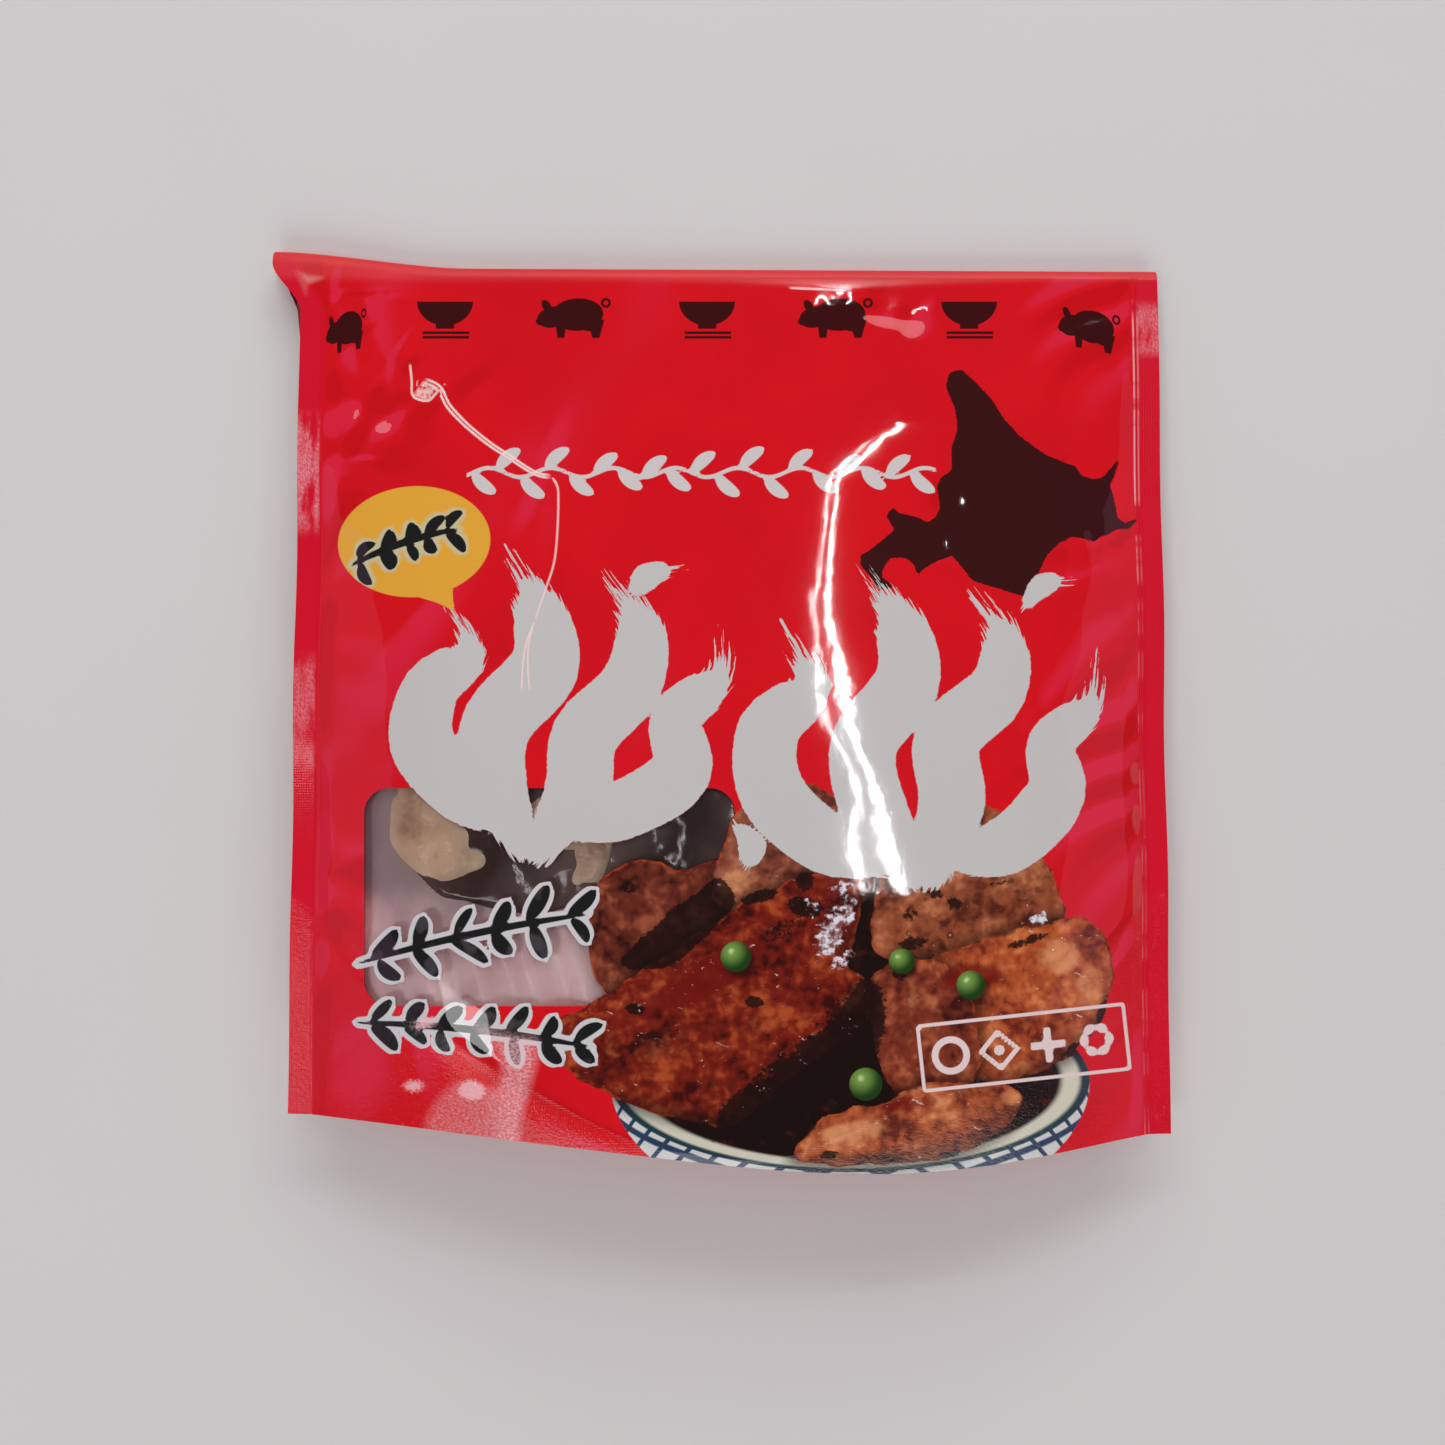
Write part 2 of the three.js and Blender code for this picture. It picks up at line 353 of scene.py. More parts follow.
# The dark island of the map, clockwise from its northern cape
ISLAND = [
    (54.3, 83.9), (57.2, 84.8), (60.8, 81.7), (64.9, 77.2), (67.3, 73.3), (70.9, 69.2), (74.3, 66.6),
    (77.4, 64.4), (81.7, 62.5), (84.6, 61.6), (86.3, 59.2), (89.2, 58.4), (91.3, 58.9), (93.0, 60.8),
    (95.3, 63.7), (94.2, 59.6), (93.0, 57.0), (94.0, 53.6), (94.9, 49.1), (96.5, 47.9), (100.2, 49.1),
    (97.4, 46.4), (94.7, 46.4), (92.8, 45.2), (90.5, 44.5), (89.3, 43.4), (86.3, 44.1), (84.0, 44.6),
    (80.8, 43.0), (77.9, 40.2), (76.1, 36.5), (73.0, 30.0), (60.0, 34.0), (55.2, 40.1), (51.0, 38.5),
    (48.2, 36.7), (46.8, 35.3), (46.0, 37.8), (44.0, 39.5), (40.3, 39.5), (38.5, 36.9), (38.3, 34.9),
    (41.3, 32.5), (37.6, 31.8), (35.6, 34.7), (33.1, 37.8), (33.1, 40.2), (35.2, 41.3), (37.6, 43.2),
    (41.3, 46.2), (39.4, 49.4), (40.6, 51.7), (42.7, 50.2), (46.8, 49.3), (49.2, 48.0), (51.0, 49.2),
    (52.2, 51.5), (51.5, 56.9), (52.7, 59.0), (55.0, 60.6), (55.0, 66.2), (56.4, 70.3), (55.9, 75.0),
    (53.6, 80.4),
]

# Glazed slices in the serving picture, from the back to the front
SLICES = {
    "left": [(-31.3, -44), (-28, -36.4), (-19, -33.2), (-9, -35.2), (-1, -33.5), (4, -38), (2, -53),
             (-8, -63), (-20, -68), (-29, -64), (-32, -54)],
    "top": [(-2, -38), (0.5, -29), (5, -19), (12.6, -15), (21, -14.6), (29, -19), (35, -27),
            (37, -36), (34, -43), (19, -46), (5, -47), (-1, -44)],
    "back": [(35.5, -52), (37.6, -38), (43.8, -28), (52, -21.3), (61, -19.2), (69.4, -22.5),
             (76.4, -31), (81.8, -43), (80.6, -50), (69, -54), (54.6, -57), (42, -58)],
    "right": [(43.8, -64), (50, -57), (62, -52.4), (76, -48.4), (87.3, -47), (92.8, -54),
              (93.4, -63.5), (89.4, -74), (80, -82), (66.6, -86), (54, -85), (46, -76)],
    "middle": [(35.4, -62), (43, -56.5), (53, -58), (59.4, -66), (62, -78), (59, -89), (47, -92),
               (39.5, -86), (36, -74)],
    "low": [(17, -104.5), (19.7, -99.3), (23.2, -95.4), (28.4, -93.2), (34.5, -91.9), (40.6, -90.6),
            (45, -88), (50.2, -86.2), (62.4, -86.6), (68.5, -87.1), (72, -88.8), (72.2, -91.4),
            (68.5, -96.7), (63.3, -100.2), (55.4, -104.1), (46.7, -105.4), (38, -106.1),
            (29.3, -106.4), (22.3, -105.8)],
    "front": [(-41, -77), (-38.5, -71), (-31.8, -67.4), (-26.6, -64.4), (-20.5, -60), (-14.4, -56.5),
              (-8.2, -52.2), (-3, -48.7), (2.2, -44.8), (5.7, -42.6), (10, -41.7), (13.6, -39.5),
              (17.9, -36.9), (24, -36.3), (29.3, -36.1), (32.3, -37.4), (33.5, -40.8), (32.9, -46),
              (31.4, -53), (29.7, -57.4), (32.8, -60), (34.9, -63.5), (35.4, -68.8), (33.2, -73.1),
              (28.4, -77.5), (22.3, -81), (17, -85.3), (10, -90.6), (3.1, -96.7), (-5.6, -96.2),
              (-14.4, -94), (-23, -91.4), (-30, -88), (-37.6, -83)],
}

# Stains on the slices by kind: middle, half length and half width, turn in degrees, strength
STAINS = {
    "dark": [
        ((-11, -48.6), (15, 3.6), 40, 1.3), ((-22, -39.3), (3.4, 1.8), 0, 0.6),
        ((-21.3, -68.8), (3.2, 1.5), -10, 1), ((7.6, -67.1), (2.6, 1.5), 0, 1.1),
        ((13.2, -83), (2.6, 2.2), 20, 1), ((12, -85), (22, 3.6), 38, 0.7),
        ((26, -70), (2, 9), -42, 0.6), ((9.2, -41.7), (4.6, 1.6), 15, 1.2),
        ((19.8, -38), (2.4, 2.4), 0, 1.2), ((19.4, -44.3), (4.6, 2.6), -15, 1.2),
        ((14, -50), (6, 3), 20, 0.6), ((12.7, -19.9), (5.5, 3.4), 0, 0.6),
        ((22, -21), (5.5, 4.5), 0, 0.5), ((58, -22.5), (5, 2.4), 10, 1),
        ((55.4, -24.3), (2.4, 1.8), 0, 1.2), ((51, -41), (2.2, 1.7), 0, 0.8),
        ((55.6, -43.6), (2.4, 1.9), 0, 0.9), ((45, -46), (2.4, 1.9), 0, 0.7),
        ((66, -39), (3, 1.5), 20, 0.6), ((73.5, -52.3), (6, 1.2), 18, 0.9),
        ((45.5, -53), (4.4, 2), 10, 0.8), ((91.5, -69), (1.6, 5), -20, 0.9),
        ((85, -77.5), (5, 1.6), 40, 0.8), ((42, -60), (3, 2), -30, 0.8),
        ((25.8, -103.7), (2.4, 1.2), 0, 1.1), ((40.6, -104.9), (3, 0.9), 0, 1.1),
        ((54.6, -103.6), (3.2, 0.9), 12, 1.1),
    ],
    "red": [
        ((-3, -60.9), (16, 4.6), 31, 1), ((-22, -70), (9, 3), 25, 0.8),
        ((60.5, -61), (8.5, 3.6), 10, 0.9), ((72, -72), (8, 5), 20, 0.4),
        ((44, -91.6), (12, 2), 8, 0.7),
    ],
    "pale": [
        ((-14, -78), (9, 4), 10, 0.5), ((-27, -77), (7, 4.5), 0, 0.4), ((9, -72), (8, 4), 35, 0.5),
        ((31, -66), (2.6, 7), -30, 0.6), ((-2, -86), (8, 4), 20, 0.3),
        ((3.5, -38), (5.5, 3.4), 30, 0.8), ((18, -29.5), (9, 4), 10, 0.3),
        ((73, -37), (5.5, 6.5), 0, 0.5), ((50, -35), (4, 7), -35, 0.4), ((81, -56), (6, 4.6), 0, 0.9),
        ((88, -63.5), (3.8, 5), 0, 0.8), ((47, -67), (6, 3.6), -20, 0.5), ((31, -98.4), (9, 2.8), 6, 1),
        ((55.5, -95), (8, 2.8), 8, 0.5), ((69.4, -89.7), (3.4, 2.4), 0, 0.7),
    ],
    "gloss": [
        ((28.4, -39.6), (3, 1.8), 10, 0.9), ((26.2, -50), (3, 7.4), -20, 1),
        ((30.2, -45), (1.8, 5), -8, 0.9), ((28.6, -57.6), (3.6, 2.2), 30, 0.8),
        ((21.5, -43.5), (2.2, 1.2), -30, 0.8), ((76, -47.5), (2.6, 1.9), 30, 0.9),
        ((-19.8, -67.6), (1.6, 0.7), 0, 0.9), ((-41.5, -86), (2.6, 1.6), 40, 0.8),
    ],
}
# The deep shade beside the left slice, and the turned down flank of the front one: outline, and how
# soft its edge is
SHADES = [
    ([(-1.7, -37.5), (-10, -45), (-24.5, -57.3), (-12.4, -58.2), (0.5, -46.6), (3, -42)], 0.9),
    ([(33, -62), (27.5, -70.8), (18.6, -77.2), (13.8, -83.4), (5.4, -88.2), (1, -91), (-0.8, -94.4),
      (-1, -99), (12, -99), (22, -93), (31, -87), (38, -77), (38, -64)], 3.2),
]
# The dark sauce between the slices
HOLLOW = [(-6, -42), (5, -36), (36, -31), (44, -42), (64, -52), (78, -62), (66, -88), (5, -100), (-8, -80)]
BOWL, BOWL_RADII, BOWL_DEPTH = (30.6, -85.8), (57.6, 22.1), 33.6
BACK_RIM = ((32.0, -66.0), (55.0, 39.5))
PEAS = [(3.2, -56.2, 3.7), (43.0, -57.3, 3.1), (59.6, -63.0, 3.5), (34.4, -86.8, 4.0)]
# From a pea's middle, in its radii: itself, its bright spot and its shadow
PEA_SPOTS = [(0, 0), (-0.3, 0.35), (0.25, -0.35)]


def icon_coordinates(u, v):
    """Along and across the row of pictograms: the film is gathered at the left and sinks outward."""
    gathered = -0.85 * np.clip(-80.5 - u, 0, 18) + 0.2 * np.maximum(u - 78, 0)
    sunk = 0.2 * np.maximum(np.abs(u) - 74, 0)
    return u + gathered, v + sunk - ICON_ROW


def vine(u, v):
    """A thin wavy stem with leaves that lie along it, above and below by turns."""
    def stem(x):
        return VINE_V + VINE_WAVE * np.sin(VINE_BEND * x)

    field = np.minimum(0.5 - np.abs(v - stem(u)), np.minimum(u - VINE_ENDS[0], VINE_ENDS[1] - u))
    for k in range(VINE_LEAVES):
        x = VINE_FOOT + VINE_STEP * k
        up = 1 if k % 2 else -1
        tip = (x + 5.6, stem(x) + 4.9 * up)
        field = union(field, leaf(u, v, (x, stem(x)), tip, 1.55, 0.5 * up))
    return np.maximum(field, BLANK)


def ink_spray(u, v, start, end, leaves, size, seed):
    """A bent stem with pairs of leaves along it, of drawn lengths and leans."""
    draw = np.random.default_rng(seed)
    (ax, ay), (bx, by) = start, end
    field = leaf(u, v, start, end, 0.9, SPRAY_BEND)
    for k in range(leaves):
        t = (k + 0.5) / leaves
        x, y = lerp(ax, bx, t), lerp(ay, by, t) + SPRAY_BEND * 4 * t * (1 - t)
        for side in (-1, 1):
            lean = math.radians(draw.uniform(35, 75))
            long = size * draw.uniform(0.75, 1.1)
            tip = (x + long * math.cos(lean), y + side * long * math.sin(lean))
            foot = (x + draw.uniform(-1, 1), y + side * 0.6)
            field = union(field, leaf(u, v, foot, tip, draw.uniform(1.2, 1.9), draw.uniform(-0.8, 0.8)))
    return field


def flames(u, v):
    """The white tongues together: the field, how dry the brush is, and the way along and across
    the stroke that shows at each point."""
    field = np.full(u.shape, BLANK)
    dry, along, across = np.zeros(u.shape), np.zeros(u.shape), np.zeros(u.shape)
    for k, (points, widths) in enumerate(FLAMES):
        stroke, way, side = brush(u, v, points, widths)
        over = stroke > field
        length = float(np.hypot(*np.diff(np.asarray(points, float), axis=0).T).sum())
        field = np.where(over, stroke, field)
        ends = np.maximum(smooth(way, 0.72, 1.0), 0.25 * smooth(-way, -0.15, 0.0))
        dry = np.where(over, ends, dry)
        along = np.where(over, way * length + 40 * k, along)
        across = np.where(over, side, across)
    return field, dry, along, across


def pile_light(u, v, slices):
    """Light on the pile of slices: each one's height is its place in the pile, a dome and soft
    folds, and the light is the slope of the whole towards the upper left, less the hollows."""
    height = np.zeros(u.shape)
    for k, field in enumerate(slices):
        fold = np.sin(0.33 * u + 0.21 * v + 1.7 * k) + 0.6 * np.sin(0.17 * u - 0.4 * v + k)
        top = 2.2 + 1.1 * k + 0.9 * np.sqrt(np.clip(field, 0, 3.5) / 3.5) + 0.7 * fold
        height = np.where(field > 0, top, height)
    blurred = height.copy()
    for _ in range(12):
        blurred[1:-1, 1:-1] = (
            blurred[:-2, 1:-1] + blurred[2:, 1:-1] + blurred[1:-1, :-2] + blurred[1:-1, 2:]
        ) / 4
    slope_u = np.gradient(blurred, axis=0) / STEP_U
    slope_v = np.gradient(blurred, axis=1) / STEP_V
    return np.clip(0.5 - 0.45 * slope_v + 0.35 * slope_u + 0.12 * (height - blurred), 0, 1)


def pea_distances(u, v):
    """Distances in radii from the nearest pea's middle, from its bright spot and from its shadow."""
    return [
        np.min([np.hypot(u - pu - du * r, v - pv - dv * r) / r for pu, pv, r in PEAS], axis=0)
        for du, dv in PEA_SPOTS
    ]


def stamp_ornaments(u, v):
    """Four plain ornaments in the tilted frame: a ring, a diamond, a cross and a flower."""
    a, b = turned(u, v, STAMP[0], STAMP[3])
    ring = 0.8 - np.abs(np.hypot(a + 17.6, b) - 3.8)
    diamond = 0.8 - np.abs(np.abs(a + 5.9) + np.abs(b) - 4.4)
    core = 1.3 - np.hypot(a + 5.9, b)
    wide, high = np.abs(a - 5.9), np.abs(b)
    cross = np.minimum(4.2 - np.maximum(wide, high), 0.9 - np.minimum(wide, high))
    angle = np.arctan2(b, a - 17.6)
    flower = 1.15 - np.hypot(np.hypot(a - 17.6, b) - 3.0, np.sin(3 * angle))
    return np.maximum(union(ring, diamond, core, cross, flower), BLANK)


def stains(u, v):
    """The dark, red, pale and glossy stains of the slices, each the strongest of its soft ovals."""
    kinds = {}
    for kind, ovals in STAINS.items():
        kinds[kind] = np.zeros(u.shape)
        for centre, (long, wide), turn, strength in ovals:
            a, b = turned(u, v, centre, turn)
            stain = strength * smooth(-np.hypot(a / long, b / wide), -1.5, -0.4)
            kinds[kind] = np.maximum(kinds[kind], stain)
    for outline, soft in SHADES:
        deep = smooth(area(u, v, curve(outline, 40, True)), -soft, soft + 0.2)
        kinds["dark"] = np.maximum(kinds["dark"], 1.5 * deep)
    return kinds


# Relief of the film, in millimetres on the layout

# Sharp creases, raised a little in the bump and painted with a pale double line as a highlight:
# points, strength, and the half gap between the two lines that each shows as, at its start and
# at its end
CREASES = [
    ([(-75, 85.9), (-74.6, 82), (-74.6, 79.6), (-74.3, 78.4), (-73.4, 77.7), (-70.6, 77.2), (-69.2, 78.5),
      (-67.8, 80)], 0.9, 0.0, 0.0),
    ([(-71.6, 82), (-69.5, 81.2), (-67.8, 80), (-66.7, 77.6), (-65.3, 75.3), (-61.3, 71.2), (-56, 66.9),
      (-51.1, 63.7), (-45.2, 59.9), (-41, 58.9)], 1.0, 0.5, 0.3),
    ([(-41, 58.9), (-39.8, 57), (-39.4, 54.6), (-39.6, 46.5), (-40.4, 38.5), (-42.6, 31.6),
      (-45.2, 24.1)], 0.75, 0.0, 0.0),
    ([(-45.2, 24.1), (-46.7, 19.5), (-47.3, 15), (-47.3, 7.6)], 0.8, 0.0, 0.95),
    ([(16, 104.3), (31, 103.6)], 0.7, 0.0, 0.0),
]
# Painted highlights: the diamond where two creases meet, and the pale triangle of the ear
DIAMOND_HIGHLIGHT = [(-74.3, 78.6), (-71.6, 82.2), (-67.8, 80), (-70.4, 77.2)]
EAR_HIGHLIGHT = [(-102.6, 108.4), (-99.2, 107.2), (-95.6, 106.9), (-99.6, 105.2), (-100, 102.4)]

# Where the flattened corner at the left takes a painted reflection, a pale crumpled glare with a
# few painted highlight spots: outlines, and ovals by their middle, half lengths and turn
GLARE_PATCH = [(-60, -71.9), (-50.3, -74.7), (-44.5, -75.7), (-44.2, -80.9), (-45.8, -87.3), (-47.8, -95),
        (-49.1, -103), (-53.5, -103), (-63.8, -101), (-71.6, -98), (-69, -90.5), (-63.2, -86),
        (-54.8, -87.3), (-53.5, -82.1), (-56.1, -77.6)]
GLINT_SPOTS = [((-74.1, -87.2), (2.4, 1.4), 0), ((-60.2, -88.4), (3.6, 2.6), -10),
              ((-71.4, -72.2), (2.8, 1.3), 15)]

# Soft folds: points of the line, slope of the film on each side of it, and reach
FOLDS = [
    ([(-102, 108.6), (-99.5, 105.2), (-92.6, 103.6)], 0.05, 5.0),
    ([(-92, 106.6), (-92.6, 101.6), (-89.9, 95.2), (-88, 88.3), (-86.6, 83.7), (-82, 80), (-76.5, 80)],
     0.07, 7.0),
    ([(-85.7, 104.9), (-85.2, 97), (-82, 87.8), (-77.5, 81.5)], -0.05, 6.0),
    ([(-96, 101), (-91, 95), (-88, 91)], -0.06, 4.0),
    ([(-85.5, 78), (-90.5, 66), (-91, 62)], 0.06, 6.0),
    ([(-74, 77.5), (-83.5, 71), (-89, 63)], -0.06, 6.0),
    ([(-67.8, 80), (-61.3, 71.2), (-51.1, 63.7), (-41, 58.9)], 0.03, 10.0),
    ([(-41, 58.9), (-39.6, 46.5), (-42.6, 31.6), (-46.4, 8)], 0.02, 8.0),
    ([(22, 104), (34, 101.5), (43, 100.5), (50, 97.5)], 0.06, 3.4),
    ([(28, 101.8), (36, 98), (44, 96)], -0.05, 3.0),
    ([(76, 58), (84, 52), (92, 50)], 0.06, 6.0),
    ([(74, 40), (79, 49), (88, 47), (93, 40)], -0.06, 6.0),
]
# Dimples: place, radius and depth
DIMPLES = [(55.2, 53.1, 4.0, 0.34), (51.7, 42.8, 3.0, 0.17), (59.4, 43.3, 2.4, 0.16),
           (38.5, 100.0, 4.5, 0.26), (45.5, 97.0, 3.5, 0.24)]
RUMPLES, RUMPLE_SLOPE = 18, 0.045
SEAM_RIPPLE, SEAM_RIPPLE_LENGTH = 0.2, 17.0
SAG, SAG_LENGTH = 0.3, 70.0

# The two streaks on the front: places along, and where each lies across at them
STREAK_V = [-42, -38.5, -34, -29, -23.6, -19, -14, -6, 1.6, 8.5, 13.9, 24, 31, 35, 47, 57.5, 60.5,
            63.5, 68.3, 71.4, 98]
STREAK_LEFT = [34.2, 33.9, 32.7, 31.2, 31.6, 33.3, 32.7, 29.6, 26.2, 24.8, 24.8, 23.9, 23.3, 23.9,
               25.3, 26.2, 27.5, 31.0, 35.6, 40.2, 25]
STREAK_RIGHT = [44, 43, 41.9, 40.2, 38.8, 37.7, 36.3, 32.7, 31.3, 30.2, 29.2, 26.6, 26.1, 26, 26.9,
                27.9, 29.7, 33.4, 38, 42.6, 29]

# The tubes overhead that the streaks mirror, in millimetres: height, middle, and how far apart
TUBE_Z, TUBE_X, TUBES_APART = 1500.0, 168.0, 25.0


def doyen_line(x):
    """Height along Y of the curved seal that ties the front to the gusset, over X."""
    return -104.0 + 64.0 * (np.abs(x) / HALF_WIDTH) ** 1.5


def facet(distance, slope, reach):
    """A blunt ridge or valley: its slope times the distance from its line, fading past its reach."""
    return -slope * np.sqrt(distance**2 + 0.7) * np.exp(-((distance / reach) ** 2))


def rumple(u, v):
    """Soft facets drawn at chance places by the side seals."""
    draw = np.random.default_rng(11)
    height = np.zeros(u.shape)
    for k in range(2 * RUMPLES):
        a = u - (-1) ** k * draw.uniform(68, 97)
        b = v - draw.uniform(-95, 88)
        turn, reach = draw.uniform(-1.2, 1.2), draw.uniform(7, 15)
        across = a * math.cos(turn) + b * math.sin(turn)
        fade = np.exp(-(a * a + b * b) / reach**2)
        height = height + facet(across, draw.uniform(-1, 1) * RUMPLE_SLOPE, 2 * reach) * fade
    return height


def relief(u, v, x, y, inset):
    """Height that folds, dimples, rumples and ripples add to the film's form."""
    left = 1 - smooth(u, -25, 5)
    height = left * SAG * np.sin(2 * np.pi * (u / SAG_LENGTH + 0.13)) * np.sin(2 * np.pi * v / 95 + 0.6)
    for points, slope, reach in FOLDS:
        distance, along, _ = path_distance(u, v, curve(points, 30))
        ends = smooth(along, 0, 0.15) * smooth(-along, -1, -0.85)
        height = height + facet(distance, slope, reach) * ends
    for du, dv, radius, depth in DIMPLES:
        height = height - depth * np.exp(-((u - du) ** 2 + (v - dv) ** 2) / radius**2)
    near_seam = smooth(-inset, -34, -6) * (0.55 + 0.45 * np.sin(y / 19 + 2 * np.sign(u)))
    phase = y + 0.02 * inset**2 + 5 * np.sin(y / 23) + 4 * np.sin(y / 9 + u / 60)
    height = height + SEAM_RIPPLE * near_seam * np.sin(2 * np.pi * phase / SEAM_RIPPLE_LENGTH)
    seal = y - doyen_line(x)
    height = height - 0.35 * np.exp(-((seal / 3.2) ** 4)) * smooth(inset, 2, 10)
    return (height + rumple(u, v)) * free(inset)


def streak_bow(u, v, x, y, z):
    """Height by which the film mirrors the two tubes along the measured streaks.

    The film's fall along Y gives where a place that is level across mirrors the tubes' plane. The
    slope across that moves this onto the streaks is then added up from the left."""
    view = CAMERA_Z - PLANE_Z
    fall = np.gradient(z, axis=1) / np.gradient(y, axis=1)
    gain = (1 + fall * v / view) / (1 + fall**2)
    distance = (TUBE_Z - z) / (2 * gain - 1)
    left, right = np.interp(v, STREAK_V, STREAK_LEFT), np.interp(v, STREAK_V, STREAK_RIGHT)
    middle = (left + right) / 2
    rate = (CAMERA_Z - z + distance) / view
    off = TUBE_X - (middle * rate - POUCH_MIDDLE_X)
    wide = np.maximum(2.5, 0.6 * (right - left))
    pull = wide * (TUBES_APART / (right - left) - rate)
    t = u - middle
    move = off * np.exp(-((t / 20) ** 2)) + pull * np.tanh(t / wide) * np.exp(-((t / 25) ** 2))
    slope = -move / (2 * gain * distance) * smooth(v, -62, -44)
    steps = np.diff(x, axis=0) * (slope[1:] + slope[:-1]) / 2
    return np.concatenate([np.zeros_like(x[:1]), np.cumsum(steps, axis=0)])


def crease_lines(u, v):
    """Signed distance across to the nearest sharp crease, how strong it is there, and its half gap."""
    nearest, signed = np.full(u.shape, 9.0), np.full(u.shape, 2.0)
    strength, gap = np.zeros(u.shape), np.zeros(u.shape)
    for points, power, first_gap, last_gap in CREASES:
        distance, along, across = path_distance(u, v, curve(points, 30))
        closer = distance < nearest
        nearest = np.where(closer, distance, nearest)
        signed = np.where(closer, np.clip(np.copysign(distance, across), -2, 2), signed)
        near = smooth(-distance, -1.35 - last_gap / 2, -0.95 - last_gap / 2)
        near = near * smooth(along, 0, 0.03) * smooth(-along, -1, -0.95)
        strength = np.where(closer, power * near, strength)
        gap = np.where(closer, lerp(first_gap, last_gap, along), gap)
    return signed, strength, gap


def painted_fold_light(u, v, height):
    """How much a height leans to the upper left at each point, from -1 to 1; the red is painted lighter
    and darker by it, as light and shade of the folds.
    """
    lean = np.gradient(height, axis=0) / np.gradient(u, axis=0)
    lean = lean - 0.8 * np.gradient(height, axis=1) / np.gradient(v, axis=1)
    return np.clip(lean / 0.07, -1, 1)


def stacked(x, y, z):
    return np.stack(np.broadcast_arrays(x, y, z), axis=-1)


def film_loops():
    """Points of the film, columns by loop: up the front, round the fold, under and back over the
    flap, down the back, and in and out of the gusset."""
    s = np.linspace(-1, 1, COLUMNS + 1)[:, None]
    lip, top, radius = lip_y(s), fold_y(s), fold_radius(s)
    roll_y = top - radius

    t = np.arange(FRONT_ROWS + 1)[None, :] / FRONT_ROWS
    x, y, z = np.broadcast_arrays(plan_x(s, t), lerp(lip, roll_y, t), front_z(s, t))
    u, v = to_layout(x, y, z)
    inset = np.broadcast_to(inset_of(s), x.shape)
    ends = smooth(t, 0.0, 0.05) * smooth(-t, -1.0, -0.95)
    bow = streak_bow(u, v, x, y, z) * free(inset)
    front = stacked(x, y, z + (relief(u, v, x, y, inset) + bow) * ends)

    back_lip = lip + BACK_LIP_INSET * shoulder(inset_of(s), SHOULDER)
    low_web, high_web = back_z(s, back_lip) + FILM / 3, front_z(s, 0.0) - FILM / 3
    deep_y, deep_z = lip + BACK_LIP_INSET + gusset_depth(s), (low_web + high_web) / 2

    def steps(count, start=1):
        return np.arange(start, count + 1)[None, :] / count

    def roll(r, t):
        angle = np.pi * t
        return stacked(plan_x(s, 1.0), roll_y + r * np.sin(angle), radius + r * np.cos(angle))

    def flap(t, z):
        return stacked(flap_x(s, FLAP_LENGTH * t), roll_y - FLAP_LENGTH * t, z)

    def back(t):
        y = lerp(roll_y, back_lip, t**BACK_ROW_SPREAD)
        return stacked(plan_x(s, np.clip((y - lip) / (top - lip), 0, 1)), y, back_z(s, y))

    def web(t, z):
        y = lerp(lip + BACK_LIP_INSET / 2, deep_y, np.sin(np.pi / 2 * t))
        return stacked(HALF_WIDTH * s, y, lerp(z, deep_z, t**GUSSET_CURVE))

    stretches = [
        front,
        roll(radius, steps(ROLL_ROWS)),
        flap(steps(FLAP_ROWS), 0.0),
        flap(1 - steps(FLAP_ROWS, 0), FLAP_LAYER),
        roll(radius - FLAP_LAYER, 1 - steps(ROLL_ROWS)),
        back(steps(BACK_ROWS)),
        web(steps(WEB_ROWS, 0), low_web),
        web(1 - steps(WEB_ROWS), high_web),
    ]
    return np.concatenate(stretches, axis=1)


# Meshes

def mesh_object(name, points, faces, material, smooth_angle=60):
    """A mesh in the part's frame from points in millimetres of the plan, with smooth shading."""
    mesh = bpy.data.meshes.new(name)
    mesh.from_pydata((points + SHIFT) * MM, [], faces)
    mesh.polygons.foreach_set("use_smooth", np.ones(len(mesh.polygons), bool))
    mesh.set_sharp_from_angle(angle=math.radians(smooth_angle))
    mesh.materials.append(material)
    mesh.update()
    piece = bpy.data.objects.new(name, mesh)
    bpy.context.scene.collection.objects.link(piece)
    return piece


def tube(name, loops, material, cap=None):
    """A closed tube through loops of points. The cap is the faces that close its first loop, or one
    face of all its points, and the last loop gets the same faces turned over."""
    rows, around, _ = loops.shape
    near = np.arange(rows - 1)[:, None] * around
    left = np.arange(around)[None, :]
    right = (left + 1) % around
    corners = [near + left, near + around + left, near + around + right, near + right]
    sides = np.stack(corners, axis=-1).reshape(-1, 4).tolist()
    cap = cap or [list(range(around))]
    last = (rows - 1) * around
    far_cap = [[last + k for k in reversed(face)] for face in cap]
    return mesh_object(name, loops.reshape(-1, 3), sides + cap + far_cap, material)


def slab(name, x, y, top, bottom, material):
    """A closed slab between two heights over one grid of places: its loops run over and under."""
    loops = np.concatenate([stacked(x, y, top), stacked(x, y, bottom)[:, ::-1]], axis=1)
    rows = x.shape[1]
    cap = [[k, k + 1, 2 * rows - 2 - k, 2 * rows - 1 - k] for k in range(rows - 1)]
    return tube(name, loops, material, cap)


def disc_slab(name, x, y, top, bottom, material):
    """A closed slab over rings of points, from a small middle ring out to the rim and back."""
    loops = np.concatenate([stacked(x, y, top), stacked(x, y, bottom)[::-1]])
    return tube(name, loops, material)


def put_attribute(piece, name, values):
    """Three numbers for each point of a piece's mesh, as one vector attribute."""
    attribute = piece.data.attributes.new(name, "FLOAT_VECTOR", "POINT")
    attribute.data.foreach_set("vector", values.astype(np.float32).ravel())


# Shader maths

def operation(kind, swapped=False):
    """A method of Field that adds a Math node, with the field as its last input if swapped."""
    def method(self, *others):
        inputs = (*others, self) if swapped else (self, *others)
        return self.shade.node("ShaderNodeMath", {"operation": kind}, dict(enumerate(inputs)))
    return method


